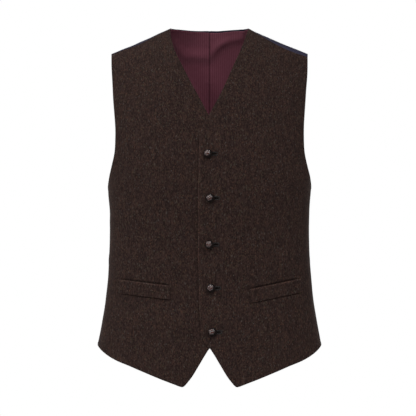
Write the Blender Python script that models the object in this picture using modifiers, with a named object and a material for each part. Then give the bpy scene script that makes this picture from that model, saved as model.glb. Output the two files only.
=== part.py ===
"""A single-breasted suit waistcoat, filled out as on a wearer, with nobody in it.

Two tweed fronts lap at the middle and fasten with five knot buttons. Two satin backs meet at a
centre seam, with a lining inside them. Each front carries a slanting pocket welt. All cloth lies
on one hollow form: level rings below the armholes, and arches that run over the shoulders above.

Metres, X to the wearer's left, Y to the back, Z up. The origin is midway between the shoulders,
at the height where they carry the garment.
"""

import math

import bmesh
import bpy
import numpy as np
from mathutils import Vector

MM = 0.001
COLLECTION = "suit_waistcoat"

# The form below the armholes, a level ring for each row, in millimetres from the origin.
# front and back are the depths from the line of the side seams. A squareness of 2 is an ellipse.
RING_COLUMNS = ("height", "half_width", "front", "back", "squareness")
RINGS = (
    (-660.0, 221.8, 127.0, 127.0, 2.20),
    (-561.0, 204.7, 124.0, 119.0, 2.20),
    (-505.0, 194.4, 121.0, 112.0, 2.25),
    (-461.0, 188.4, 119.0, 107.0, 2.30),
    (-410.0, 184.5, 118.5, 104.0, 2.30),
    (-356.0, 183.0, 120.0, 107.0, 2.30),
    (-316.0, 183.4, 122.6, 112.6, 2.35),
    (-291.0, 185.2, 123.8, 116.6, 2.35),
    (-276.0, 186.2, 124.0, 117.0, 2.35),
)
ARMHOLE_BOTTOM = -276.0 * MM

# The form above the armholes: an arch over the shoulder at each distance from the middle.
NECK_POINT_X = 72.3 * MM
NECK_POINT_Z = 16.4 * MM
SHOULDER_SLOPE = 0.4374
SHOULDER_TIP_X = 180.8 * MM
RIDGE_ROUND_X = 22.0 * MM  # rounds the peak where the two shoulder lines would meet
SHOULDER_HOLLOW = 1.4 * MM  # how far the shoulder line dips between the neck and the tip
HOLLOW_SKEW = 1.5  # above 1 it dips most nearer the neck
# How full the arch is, where 2 is an ellipse, at the middle of the body and at the shoulder tip.
ARCH_POWER = {"front": (1.7, 2.2), "back": (2.3, 2.6)}

# How far in front of the ridge the left and the right shoulder seam lie, in millimetres.
SEAM_FORWARD_COLUMNS = ("from_middle", "left", "right")
SEAM_FORWARD = (
    (72.3, 12.0, 12.0),
    (98.0, 21.5, 15.0),
    (125.0, 26.0, 19.5),
    (152.0, 23.5, 13.5),
    (180.8, 11.0, 5.5),
)

# The inner edge of the left and of the right front: how far from the middle on its own side, in mm.
FRONT_EDGE_COLUMNS = ("height", "left", "right")
FRONT_EDGE = (
    (-631.0, 47.0, 47.0),
    (-614.0, 33.2, 33.0),
    (-593.0, 20.2, 19.8),
    (-573.0, 8.3, 7.8),
    (-562.0, 1.0, 0.6),
    (-552.0, -8.4, -8.4),
    (-539.0, -14.0, -14.0),
    (-517.0, -16.2, -16.2),
    (-415.0, -20.0, -20.0),
    (-326.0, -20.8, -20.8),
    (-205.0, -18.4, -18.4),
    (-178.0, -16.6, -16.6),
    (-167.0, -11.2, -10.0),
    (-145.0, 0.6, 3.0),
    (-118.0, 15.3, 17.2),
    (-90.0, 29.0, 32.6),
    (-63.0, 40.6, 46.2),
    (-28.0, 56.1, 63.0),
    (-10.0, 62.8, 68.5),
    (2.0, 67.0, 71.2),
    (16.4, 72.3, 72.3),
)
# The other edges of a front and of a back, the same on both sides, in millimetres.
FRONT_HEM_COLUMNS = ("from_middle", "height")
FRONT_HEM = (
    (47.0, -631.0),
    (89.0, -615.5),
    (140.0, -596.0),
    (185.5, -578.0),
    (196.0, -571.5),
    (205.0, -565.0),
)
ARMHOLE_COLUMNS = ("height", "from_middle")
FRONT_ARMHOLE = (
    (-276.0, 186.2),
    (-273.5, 186.0),
    (-268.0, 185.3),
    (-256.0, 183.1),
    (-240.0, 178.6),
    (-212.0, 172.1),
    (-180.0, 170.4),
    (-145.0, 172.7),
    (-100.0, 176.4),
    (-60.0, 179.6),
    (-28.0, 180.8),
)
BACK_ARMHOLE = (
    (-276.0, 186.2),
    (-273.5, 186.0),
    (-268.0, 185.2),
    (-257.0, 182.9),
    (-240.0, 178.4),
    (-206.0, 173.0),
    (-150.0, 172.0),
    (-100.0, 174.6),
    (-60.0, 178.4),
    (-28.0, 180.8),
)
BACK_HEM_COLUMNS = ("from_middle", "height")
BACK_HEM = (
    (0.0, -572.0),
    (100.0, -570.0),
    (205.0, -565.0),
)
BACK_NECK_COLUMNS = ("from_middle", "behind_ridge")
BACK_NECK = (
    (0.0, 46.8),
    (15.0, 45.0),
    (30.0, 39.8),
    (45.0, 31.6),
    (57.0, 22.8),
    (65.0, 14.5),
    (69.8, 4.0),
    (72.3, -12.0),
)

# Cloth walls and how they lie on each other.
FRONT_WALL = 2.4 * MM
BACK_WALL = 1.1 * MM
LINING_WALL = 1.0 * MM
LAYER_GAP = 0.35 * MM
SEAM_GAP = 0.5 * MM
LINING_HEM_SHARE = 0.55  # how far the lining's hem lies towards the next row up
LINING_EDGE_SHARE = 0.10  # and its other free edges towards the next row or column in
LAP_STEP = 1.5 * MM  # how far the fronts part from the form, out or in, where they lap
LAP_FULL_TO = 24.0 * MM
LAP_GONE_BY = 80.0 * MM

# The grids of points on the panels.
FRONT_COLUMNS = 14
BACK_COLUMNS_AT_NECK = 6
NECK_COLUMN_CROWDING = 1.5  # above 1 the columns crowd towards the neck point
BACK_COLUMNS_AT_SHOULDER = 8
ROWS_BELOW_ARMHOLE = 14
# The rows above, as shares of the way up from the armhole's bottom to the shoulder seam.
ROWS_ABOVE_ARMHOLE = (
    0.014, 0.038, 0.075, 0.125, 0.19, 0.265, 0.34, 0.42, 0.50, 0.58, 0.66, 0.735, 0.805, 0.865, 0.915,
    0.96, 1.0,
)
SOLVE_STEPS = 12
NECK_POINT_WITHIN = 0.1 * MM
ARCH_SAMPLES = 200

# Soft folds of the panels, in millimetres: where each runs, how far out (or in, below 0) and how
# wide it is. x is the distance from the middle of the body.
FOLD_COLUMNS = ("x0", "z0", "x1", "z1", "height", "width")
LINING_LEFT_FOLDS = (
    (0.0, -8.0, 0.0, -70.0, -2.4, 22.0),
    (3.0, -26.0, 9.0, -14.0, -3.2, 8.0),
    (19.0, -5.0, 32.0, 0.0, -3.4, 8.0),
    (45.0, 2.0, 64.0, 5.0, -3.0, 8.0),
)
LINING_RIGHT_FOLDS = (
    (0.0, -8.0, 0.0, -70.0, -2.4, 22.0),
    (6.0, -26.0, 46.0, -26.0, -3.8, 10.5),
    (57.0, -16.0, 64.0, -6.0, -2.6, 9.0),
)
BACK_FOLDS = (
    (70.0, -250.0, 62.0, -430.0, -2.2, 12.0),
    (28.0, -392.0, 150.0, -376.0, 2.4, 13.0),
    (60.0, -440.0, 172.0, -408.0, 2.0, 12.0),
)
FRONT_FOLDS = (
    (117.0, -215.0, 121.0, -530.0, -1.6, 15.0),
    (112.0, -232.0, 168.0, -286.0, 1.6, 12.0),
    (60.0, -520.0, 84.0, -600.0, 1.6, 16.0),
    (128.0, -508.0, 158.0, -582.0, 1.8, 15.0),
)

# Pocket welts: the middles of the inner and outer ends, from the middle of the body and by height.
WELT_COLUMNS = ("side", "inner_x", "inner_z", "outer_x", "outer_z")
WELTS = (
    ("left", 71.4, -469.4, 165.0, -452.2),
    ("right", 69.0, -463.4, 161.0, -454.2),
)
WELT_TALL = 24.5 * MM
WELT_WALL = 2.0 * MM
WELT_LIFT = 0.6 * MM
WELT_POINTS_LONG = 12
WELT_POINTS_TALL = 3

# Buttons.
BUTTON_COLUMNS = ("from_middle", "height")
BUTTONS = (
    (-2.7, -217.8),
    (1.2, -295.7),
    (-0.2, -377.8),
    (2.7, -455.0),
    (5.1, -532.5),
)
BUTTON_RADIUS = 8.0 * MM
BUTTON_TALL = 8.0 * MM
BUTTON_LIFT = 0.5 * MM
BUTTON_SIDES = 18
MERGE_WITHIN = 0.01 * MM
# The turned outline of a button, as shares of its radius and height, from the crown down.
BUTTON_OUTLINE_COLUMNS = ("radius", "height")
BUTTON_OUTLINE = (
    (0.00, 1.00),
    (0.36, 0.95),
    (0.68, 0.80),
    (0.92, 0.55),
    (1.00, 0.32),
    (0.90, 0.12),
    (0.66, 0.00),
    (0.00, 0.00),
)

MATERIALS = {
    "tweed": ((0.034, 0.021, 0.018), 0.92),
    "back_satin": ((0.020, 0.024, 0.050), 0.45),
    "lining": ((0.085, 0.022, 0.030), 0.55),
    "leather": ((0.030, 0.016, 0.011), 0.38),
}


def smooth(table, column, at):
    """Reads a table at the values in its first column, along a smooth curve."""
    rows = np.array(table, float) * MM
    rows = rows[np.argsort(rows[:, 0])]
    known = rows[:, 0]
    value = rows[:, column]
    slope = np.gradient(value, known)
    at = np.clip(np.asarray(at, float), known[0], known[-1])
    i = np.clip(np.searchsorted(known, at) - 1, 0, len(known) - 2)
    span = known[i + 1] - known[i]
    t = (at - known[i]) / span
    start = value[i] * (1 + 2 * t) * (1 - t) ** 2 + slope[i] * span * t * (1 - t) ** 2
    end = value[i + 1] * t * t * (3 - 2 * t) - slope[i + 1] * span * t * t * (1 - t)
    return start + end


def step(value, low, high):
    """Rises smoothly from 0 at low to 1 at high."""
    t = np.clip((value - low) / (high - low), 0.0, 1.0)
    return t * t * (3 - 2 * t)


def ring(side, height):
    """The half width, depth and squareness of the form at a height below the armholes."""
    half_width = smooth(RINGS, 1, height)
    depth = smooth(RINGS, 2 if side == "front" else 3, height)
    squareness = smooth(RINGS, 4, height) / MM
    return half_width, depth, squareness


ARMHOLE_RING = {side: ring(side, ARMHOLE_BOTTOM) for side in ("front", "back")}


def along_shoulder(x):
    """How far x is from the neck point, at 0, to the shoulder tip, at 1."""
    return np.clip((np.abs(x) - NECK_POINT_X) / (SHOULDER_TIP_X - NECK_POINT_X), 0.0, 1.0)


def dip(t):
    """How far the shoulder line dips at a share of the way along it, not yet scaled."""
    return t * (1 - t) ** HOLLOW_SKEW


def shoulder_height(x):
    """The height of the shoulder line, carried on smoothly across the neck."""
    away = np.sqrt(np.asarray(x, float) ** 2 + RIDGE_ROUND_X**2)
    at_neck = math.sqrt(NECK_POINT_X**2 + RIDGE_ROUND_X**2)
    hollow = SHOULDER_HOLLOW * dip(along_shoulder(x)) / dip(1 / (1 + HOLLOW_SKEW))
    return NECK_POINT_Z - SHOULDER_SLOPE * (away - at_neck) - hollow


def arch_power(side, x):
    """How full the arch is at a distance from the middle."""
    middle, tip = ARCH_POWER[side]
    return middle + (tip - middle) * np.minimum(np.abs(x) / SHOULDER_TIP_X, 1.0)


def form_point(side, angle, rise):
    """A point of the form: angle goes round from the middle to the side seam, either way.

    A rise below 0 is the height below the armholes. Above 0 it is the angle along the arch over
    the shoulder, whose ridge is at a right angle, and beyond that it comes down the other side.
    """
    angle, rise = np.broadcast_arrays(np.asarray(angle, float), np.asarray(rise, float))
    out = -1.0 if side == "front" else 1.0
    turn, reach = np.abs(np.sin(angle)), np.abs(np.cos(angle))

    low_z = ARMHOLE_BOTTOM + np.minimum(rise, 0.0)
    half_width, depth, squareness = ring(side, low_z)
    low_x = np.sign(angle) * half_width * turn ** (2 / squareness)
    low_y = out * depth * reach ** (2 / squareness)

    lift = np.clip(rise, 0.0, math.pi)
    half_width, depth, squareness = ARMHOLE_RING[side]
    other = "back" if side == "front" else "front"
    high_x = np.sign(angle) * half_width * turn ** (2 / squareness)
    over = lift > math.pi / 2
    depth = np.where(over, ARMHOLE_RING[other][1], depth)
    power = np.where(over, arch_power(other, high_x), arch_power(side, high_x))
    share = np.sin(lift) ** (2 / power)
    high_z = ARMHOLE_BOTTOM + share * (shoulder_height(high_x) - ARMHOLE_BOTTOM)
    high_y = out * depth * reach ** (2 / squareness) * np.cos(lift)

    above = rise > 0
    x = np.where(above, high_x, low_x)
    y = np.where(above, high_y, low_y)
    z = np.where(above, high_z, low_z)
    return np.stack([x, y, z], axis=-1)


def form_normal(side, angle, rise):
    """The outward direction of the form at a point."""
    tiny = 1e-4
    edge = math.pi / 2
    along = form_point(side, np.clip(angle + tiny, -edge, edge), rise)
    along = along - form_point(side, np.clip(angle - tiny, -edge, edge), rise)
    up = form_point(side, angle, rise + tiny) - form_point(side, angle, rise - tiny)
    normal = np.cross(along, up) * (1.0 if side == "front" else -1.0)
    return normal / np.linalg.norm(normal, axis=-1, keepdims=True)


def locate(side, x, z):
    """The angle and rise of the point of the form that has this x and z."""
    below = np.minimum(z, ARMHOLE_BOTTOM)
    half_width, _, squareness = ring(side, below)
    share = np.clip((z - ARMHOLE_BOTTOM) / (shoulder_height(x) - ARMHOLE_BOTTOM), 0.0, 1.0)
    lift = np.arcsin(share ** (arch_power(side, x) / 2))
    rise = np.where(z < ARMHOLE_BOTTOM, z - ARMHOLE_BOTTOM, lift)
    angle = np.arcsin(np.clip(np.abs(x) / half_width, 0.0, 1.0) ** (squareness / 2))
    return np.sign(x) * angle, rise


def rise_at(side, x, forward):
    """The rise at x of a point this far in front of the ridge, or behind it where below 0."""
    half_width, _, squareness = ARMHOLE_RING[side]
    depth = np.where(forward > 0, ARMHOLE_RING["front"][1], ARMHOLE_RING["back"][1])
    room = depth * (1 - (x / half_width) ** squareness) ** (1 / squareness)
    return np.arccos((forward if side == "front" else -forward) / room)


def seam_rise(side, hand, x):
    """The rise of the shoulder seam at x."""
    x = np.clip(np.abs(x), 0.0, SHOULDER_TIP_X)
    forward = smooth(SEAM_FORWARD, 1 if hand > 0 else 2, x)
    return rise_at(side, x, forward + (SEAM_GAP / 2 if side == "front" else -SEAM_GAP / 2))


def back_top_rise(hand, x):
    """The rise of the top of a back: the neckline near the middle, then the shoulder seam."""
    x = np.abs(x)
    neckline = rise_at("back", np.minimum(x, NECK_POINT_X), -smooth(BACK_NECK, 1, x))
    return np.where(x < NECK_POINT_X - NECK_POINT_WITHIN, neckline, seam_rise("back", hand, x))


def low_height(hem, share, x):
    """The height at x of a row below the armholes; share is 0 at the hem and 1 at the top."""
    return ARMHOLE_BOTTOM - (1 - share) * (ARMHOLE_BOTTOM - smooth(hem, 1, np.abs(x)))


def high_height(side, top_rise, share, x):
    """The height at x of a row above the armholes; share is 0 at the bottom and 1 at the top."""
    angle, _ = locate(side, x, ARMHOLE_BOTTOM)
    return form_point(side, angle, share * top_rise(x))[..., 2]


def arch_share(side, share):
    """The part of the arch's whole angle that takes up this share of its length, at mid shoulder."""
    lift = np.linspace(0.0, math.pi / 2, ARCH_SAMPLES)
    angle, _ = locate(side, (NECK_POINT_X + SHOULDER_TIP_X) / 2, ARMHOLE_BOTTOM)
    steps = np.linalg.norm(np.diff(form_point(side, angle, lift), axis=0), axis=-1)
    length = np.append(0.0, np.cumsum(steps))
    return np.interp(share * length[-1], length, lift) / (math.pi / 2)


def settle(side, edge, height_of, column=1):
    """The angle at which a row meets an edge, whose table gives x by height."""
    z = np.float64(0.0)
    for _ in range(SOLVE_STEPS):
        x = smooth(edge, column, z)
        z = height_of(x)
    angle, _ = locate(side, x, z)
    return angle


def low_row(side, hem, share, angle):
    """The rises of a row below the armholes at these angles."""
    rise = np.zeros_like(angle)
    for _ in range(SOLVE_STEPS):
        x = form_point(side, angle, rise)[..., 0]
        rise = np.minimum(low_height(hem, share, x) - ARMHOLE_BOTTOM, 0.0)
    return rise


def panel_grid(side, inner_of, spread, hem, armhole, top_rise):
    """The angles and rises of a panel's points, rows from the hem up, from the inner edge out.

    inner_of gives the angle at a row's inner end from the row's own rule for its height.
    """
    angles, rises = [], []
    for i in range(ROWS_BELOW_ARMHOLE + 1):
        share = i / ROWS_BELOW_ARMHOLE
        inner = inner_of(lambda x: low_height(hem, share, x))
        angle = spread(inner, math.pi / 2)
        angles.append(angle)
        rises.append(low_row(side, hem, share, angle))
    for way_up in ROWS_ABOVE_ARMHOLE:
        share = arch_share(side, way_up)

        def height_of(x):
            return high_height(side, top_rise, share, x)

        angle = spread(inner_of(height_of), settle(side, armhole, height_of))
        x = form_point(side, angle, 0.0)[..., 0]
        angles.append(angle)
        rises.append(share * top_rise(x))
    return np.array(angles), np.array(rises)


def front_grid(hand):
    """The points of a front, as on the wearer's left."""

    def spread(inner, outer):
        return inner + (outer - inner) * np.linspace(0.0, 1.0, FRONT_COLUMNS)

    def inner_of(height_of):
        return settle("front", FRONT_EDGE, height_of, 1 if hand > 0 else 2)

    def top_rise(x):
        return seam_rise("front", hand, x)

    return panel_grid("front", inner_of, spread, FRONT_HEM, FRONT_ARMHOLE, top_rise)


def back_grid(hand):
    """The points of a back, as on the wearer's left, with a column that runs up to the neck point."""
    neck_angle, _ = locate("back", NECK_POINT_X, ARMHOLE_BOTTOM)
    seam_angle, _ = locate("back", SEAM_GAP / 2, ARMHOLE_BOTTOM)

    def spread(inner, outer):
        left_over = np.linspace(1.0, 0.0, BACK_COLUMNS_AT_NECK, endpoint=False) ** NECK_COLUMN_CROWDING
        near = neck_angle + (inner - neck_angle) * left_over
        return np.append(near, np.linspace(neck_angle, outer, BACK_COLUMNS_AT_SHOULDER))

    def inner_of(height_of):
        return seam_angle

    def top_rise(x):
        return back_top_rise(hand, x)

    return panel_grid("back", inner_of, spread, BACK_HEM, BACK_ARMHOLE, top_rise)


def ridges(table, x, z):
    """The height of the soft folds in a table at a point, seen from the front."""
    total = np.zeros_like(x)
    for x0, z0, x1, z1, height, width in np.array(table) * MM:
        length_sq = (x1 - x0) ** 2 + (z1 - z0) ** 2
        t = np.clip(((x - x0) * (x1 - x0) + (z - z0) * (z1 - z0)) / length_sq, 0.0, 1.0)
        away_sq = (x - x0 - t * (x1 - x0)) ** 2 + (z - z0 - t * (z1 - z0)) ** 2
        total = total + height * np.exp(-away_sq / width**2)
    return total


def cloth_points(side, hand, angle, rise, depth, folds=(), lap=0.0):
    """Points on one side of the body, moved out of the form by -depth, by folds and by the lap.

    hand is 1 for the wearer's left and -1 for the right. A lap of 1 lies on top, -1 beneath.
    """
    angle = angle * hand
    points = form_point(side, angle, rise)
    normal = form_normal(side, angle, rise)
    x, z = points[..., 0], points[..., 2]
    lapped = 1 - step(x * hand, LAP_FULL_TO, LAP_GONE_BY)
    out = -depth + lap * LAP_STEP * lapped
    for table in folds:
        out = out + ridges(table, x * hand, z)
    return points + normal * out[..., None]


def material(name):
    """A plain finish with a material's colour and roughness."""
    colour, roughness = MATERIALS[name]
    finish = bpy.data.materials.new(name)
    finish.use_nodes = True
    shader = finish.node_tree.nodes["Principled BSDF"]
    shader.inputs["Base Color"].default_value = (*colour, 1.0)
    shader.inputs["Roughness"].default_value = roughness
    return finish


def add_object(name, bm, finish, home):
    """Turns a bmesh into a named object with one finish."""
    mesh = bpy.data.meshes.new(name)
    bm.to_mesh(mesh)
    bm.free()
    mesh.shade_smooth()
    mesh.materials.append(finish)
    piece = bpy.data.objects.new(name, mesh)
    home.objects.link(piece)
    return piece


def sheet(name, points, faces_out, wall, finish, home):
    """A cloth piece: a loft through rows of points, made into a wall of even thickness."""
    bm = bmesh.new()
    rows, columns, _ = points.shape
    verts = [[bm.verts.new(points[i, j]) for j in range(columns)] for i in range(rows)]
    for i in range(rows - 1):
        for j in range(columns - 1):
            corners = [verts[i][j], verts[i][j + 1], verts[i + 1][j + 1], verts[i + 1][j]]
            bm.faces.new(corners if faces_out else corners[::-1])
    bmesh.ops.triangulate(bm, faces=bm.faces[:], quad_method="SHORT_EDGE")
    piece = add_object(name, bm, finish, home)
    solid = piece.modifiers.new("wall", "SOLIDIFY")
    solid.thickness = wall
    solid.offset = 0.0
    solid.use_even_offset = True
    return piece


def open_side_seam(points, side):
    """Moves a panel's side edge back from the middle of the side seam."""
    seam = slice(0, ROWS_BELOW_ARMHOLE + 1)
    points[seam, -1, 1] += (-1.0 if side == "front" else 1.0) * SEAM_GAP / 2
    return points


def add_front(name, hand, grid, finish, home):
    """A front panel. The left one laps over the right one."""
    points = cloth_points("front", hand, *grid, FRONT_WALL / 2, (FRONT_FOLDS,), lap=hand)
    sheet(name, open_side_seam(points, "front"), hand > 0, FRONT_WALL, finish, home)


def add_back(name, hand, grid, finish, home):
    """A back panel."""
    points = cloth_points("back", hand, *grid, BACK_WALL / 2, (BACK_FOLDS,))
    sheet(name, open_side_seam(points, "back"), hand < 0, BACK_WALL, finish, home)


def add_lining(name, hand, grid, folds, finish, home):
    """A back lining, inside a back panel, with soft folds of its own into the hollow.

    Its free edges lie a little further in than the back's.
    """
    depth = BACK_WALL + LAYER_GAP + LINING_WALL / 2
    points = cloth_points("back", hand, *grid, depth, (BACK_FOLDS, folds))
    points = open_side_seam(points, "back")
    above = slice(ROWS_BELOW_ARMHOLE + 1, None)
    points[0] += (points[1] - points[0]) * LINING_HEM_SHARE
    points[-1] += (points[-2] - points[-1]) * LINING_EDGE_SHARE
    points[above, -1] += (points[above, -2] - points[above, -1]) * LINING_EDGE_SHARE
    sheet(name, points, hand < 0, LINING_WALL, finish, home)


def add_welt(name, hand, row, finish, home):
    """A pocket welt, which lies on a front."""
    inner_x, inner_z, outer_x, outer_z = np.array(row) * MM
    along = np.linspace(0.0, 1.0, WELT_POINTS_LONG)[None, :]
    up = np.linspace(-0.5, 0.5, WELT_POINTS_TALL)[:, None]
    x = inner_x + (outer_x - inner_x) * along + 0 * up
    z = inner_z + (outer_z - inner_z) * along + WELT_TALL * up
    angle, rise = locate("front", x, z)
    depth = -WELT_LIFT - WELT_WALL / 2
    points = cloth_points("front", hand, angle, rise, depth, (FRONT_FOLDS,), lap=hand)
    sheet(name, points, hand > 0, WELT_WALL, finish, home)


def add_button(name, x, z, finish, home):
    """A domed knot button on the left front, turned about the line that stands out of the cloth."""
    bm = bmesh.new()
    outline = [bm.verts.new((r * BUTTON_RADIUS, 0.0, h * BUTTON_TALL)) for r, h in BUTTON_OUTLINE]
    for upper, lower in zip(outline, outline[1:]):
        bm.edges.new((upper, lower))
    button = add_object(name, bm, finish, home)
    turned = button.modifiers.new("turned", "SCREW")
    turned.steps = BUTTON_SIDES
    turned.render_steps = BUTTON_SIDES
    turned.use_merge_vertices = True
    turned.merge_threshold = MERGE_WITHIN
    angle, rise = locate("front", np.float64(x), np.float64(z))
    seat = cloth_points("front", 1.0, angle, rise, -BUTTON_LIFT, (FRONT_FOLDS,), lap=1.0)
    stands = Vector(form_normal("front", angle, rise))
    button.location = Vector(seat)
    button.rotation_euler = stands.to_track_quat("Z", "Y").to_euler()


def main():
    for old in list(bpy.data.objects):
        bpy.data.objects.remove(old, do_unlink=True)
    home = bpy.data.collections.new(COLLECTION)
    bpy.context.scene.collection.children.link(home)
    finish = {name: material(name) for name in MATERIALS}

    for name, hand in (("left", 1.0), ("right", -1.0)):
        lining_folds = LINING_LEFT_FOLDS if hand > 0 else LINING_RIGHT_FOLDS
        back = back_grid(hand)
        add_front("front_" + name, hand, front_grid(hand), finish["tweed"], home)
        add_back("back_" + name, hand, back, finish["back_satin"], home)
        add_lining("lining_" + name, hand, back, lining_folds, finish["lining"], home)
    for name, *row in WELTS:
        add_welt("welt_" + name, 1.0 if name == "left" else -1.0, row, finish["tweed"], home)
    for number, (x, z) in enumerate(BUTTONS, start=1):
        add_button(f"button_{number}", x * MM, z * MM, finish["leather"], home)


main()
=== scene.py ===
"""The looks of a single-breasted suit waistcoat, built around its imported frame.

Each cloth piece is a thin closed shell on the same form as its solid: level rings below the
armholes, arches over the shoulders above. On that form come soft folds, pocket welts, worked
buttonholes and woven leather buttons. Metres, X to the wearer's left, Y to the back, Z up.
"""

import math

import bpy
import numpy as np
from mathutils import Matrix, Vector
from mathutils.kdtree import KDTree


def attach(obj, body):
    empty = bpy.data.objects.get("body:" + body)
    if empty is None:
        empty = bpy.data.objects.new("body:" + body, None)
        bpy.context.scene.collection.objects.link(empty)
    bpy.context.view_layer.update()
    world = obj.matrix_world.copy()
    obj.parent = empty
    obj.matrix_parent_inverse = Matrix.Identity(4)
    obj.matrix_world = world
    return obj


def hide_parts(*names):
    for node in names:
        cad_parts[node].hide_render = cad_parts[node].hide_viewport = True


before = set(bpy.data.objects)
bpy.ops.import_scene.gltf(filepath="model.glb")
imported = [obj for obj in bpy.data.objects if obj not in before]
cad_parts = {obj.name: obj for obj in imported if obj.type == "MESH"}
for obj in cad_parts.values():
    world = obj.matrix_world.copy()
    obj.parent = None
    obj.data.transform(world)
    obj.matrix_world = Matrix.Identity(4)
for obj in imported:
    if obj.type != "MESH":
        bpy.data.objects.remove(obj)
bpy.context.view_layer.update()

MM = 0.001
BODY = "root"
LEFT, RIGHT = 1.0, -1.0  # the wearer's left and right hand, and the way that X goes there
SIDE = {LEFT: "left", RIGHT: "right"}


def table(columns, *rows):
    """Numbers in named columns, in millimetres, whose rows are in rising order of the first one."""
    return dict(zip(columns.split(), np.array(rows, float).T))


# ---- the form and the cut
# The form below the armholes: a level ring for each row, from the origin.
RINGS = table(
    "height half_width front back squareness",
    (-660, 221.8, 127, 127, 2.20),
    (-561, 204.7, 124, 119, 2.20),
    (-505, 194.4, 121, 112, 2.25),
    (-461, 188.4, 119, 107, 2.30),
    (-410, 184.5, 118.5, 104, 2.30),
    (-356, 183, 120, 107, 2.30),
    (-316, 183.4, 122.6, 112.6, 2.35),
    (-291, 185.2, 123.8, 116.6, 2.35),
    (-276, 186.2, 124, 117, 2.35),
)
ARMHOLE_BOTTOM = -276.0 * MM

# The form above the armholes: an arch over the shoulder at each distance from the middle.
NECK_POINT_X = 72.3 * MM
NECK_POINT_Z = 16.4 * MM
SHOULDER_SLOPE = 0.4374
SHOULDER_TIP_X = 180.8 * MM
RIDGE_ROUND_X = 22.0 * MM
SHOULDER_HOLLOW = 1.4 * MM
HOLLOW_SKEW = 1.5
ARCH_POWER = {"front": (1.7, 2.2), "back": (2.3, 2.6)}

# How far in front of the ridge the left and the right shoulder seam lie.
SEAM_FORWARD = table(
    "from_middle left right",
    (72.3, 12, 12),
    (98, 21.5, 15),
    (125, 26, 19.5),
    (152, 23.5, 13.5),
    (180.8, 11, 5.5),
)

# The inner edge of the left and of the right front: how far from the middle on its own side.
FRONT_EDGE = table(
    "height left right",
    (-631, 47, 47),
    (-614, 33.2, 33),
    (-593, 20.2, 19.8),
    (-573, 8.3, 7.8),
    (-562, 1, 0.6),
    (-552, -8.4, -8.4),
    (-539, -14, -14),
    (-517, -16.2, -16.2),
    (-415, -20, -20),
    (-326, -20.8, -20.8),
    (-205, -18.4, -18.4),
    (-178, -16.6, -16.6),
    (-167, -11.2, -10),
    (-145, 0.6, 3),
    (-118, 15.3, 17.2),
    (-90, 29, 32.6),
    (-63, 40.6, 46.2),
    (-28, 56.1, 63),
    (-10, 62.8, 68.5),
    (2, 67, 71.2),
    (16.4, 72.3, 72.3),
)
# The other edges of a front and of a back, the same on both sides.
HEM_COLUMNS = "from_middle height"
FRONT_HEM = table(
    HEM_COLUMNS,
    (47, -631),
    (89, -615.5),
    (140, -596),
    (185.5, -578),
    (196, -571.5),
    (205, -565),
)
ARMHOLE_COLUMNS = "height from_middle"
FRONT_ARMHOLE = table(
    ARMHOLE_COLUMNS,
    (-276, 186.2),
    (-273.5, 186),
    (-268, 185.3),
    (-256, 183.1),
    (-240, 178.6),
    (-212, 172.1),
    (-180, 170.4),
    (-145, 172.7),
    (-100, 176.4),
    (-60, 179.6),
    (-28, 180.8),
)
BACK_ARMHOLE = table(
    ARMHOLE_COLUMNS,
    (-276, 186.2),
    (-273.5, 186),
    (-268, 185.2),
    (-257, 182.9),
    (-240, 178.4),
    (-206, 173),
    (-150, 172),
    (-100, 174.6),
    (-60, 178.4),
    (-28, 180.8),
)
BACK_HEM = table(
    HEM_COLUMNS,
    (0, -572),
    (100, -570),
    (205, -565),
)
BACK_NECK = table(
    "from_middle behind_ridge",
    (0, 46.8),
    (15, 45),
    (30, 39.8),
    (45, 31.6),
    (57, 22.8),
    (65, 14.5),
    (69.8, 4),
    (72.3, -12),
)

# Cloth walls, and how they lie on each other.
FRONT_WALL = 2.4 * MM
BACK_WALL = 1.1 * MM
LINING_WALL = 1.0 * MM
LAYER_GAP = 0.35 * MM
SEAM_GAP = -0.1 * MM  # below 0, where the pieces overlap in the seam
LAP_STEP = 1.5 * MM
LAP_FULL_TO = 24.0 * MM
LAP_GONE_BY = 80.0 * MM
FRONT_TIP_ROUND = 5.0 * MM  # how far from its lowest point a front's outline starts to round
FRONT_TIP_NEAR = 3 * FRONT_TIP_ROUND  # how far from it points may have moved
FRONT_ROLL = 1.8 * MM  # how far in from a free edge the cloth rolls over
BACK_ROLL = 0.65 * MM
RIM_SHARE = 0.06  # how much of the wall is left at the very edge
SEAM_ROLL = 0.8 * MM  # how far from a seam the cloth dips into it, and how deep
SEAM_DIP = 0.35 * MM
TURN_IN = 11.0 * MM  # the width of outer cloth that shows inside a free edge
EDGE_BULK = 0.45 * MM  # how much thicker, each side, a front is over the turnings inside its edges
EDGE_BULK_AT = 3.2 * MM
EDGE_BULK_WIDTH = 2.4 * MM
EDGE_HIGHLIGHT = 2.0 * MM  # how far in from an edge the tweed has a painted highlight, where its rolled edge catches the light
HIGHLIGHT_PATCH = 13.0 * MM  # how quickly that painted highlight comes and goes along the edge
HIGHLIGHT_SHARE = (0.7, 0.3)  # its mean, and how far it goes up and down from there
HIGHLIGHT_STARTS = (-0.560, -0.530)  # the heights between which it sets in
HIGHLIGHT_ENDS = (-0.180, -0.160)
LINING_UP = 11.5 * MM  # how far the lining's hem lies above the back's
LINING_IN = 1.1 * MM  # how far its other free edges lie in from the back's
LINING_ARMHOLE_IN = 0.02  # and its armhole edge, as an angle round the body

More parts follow.
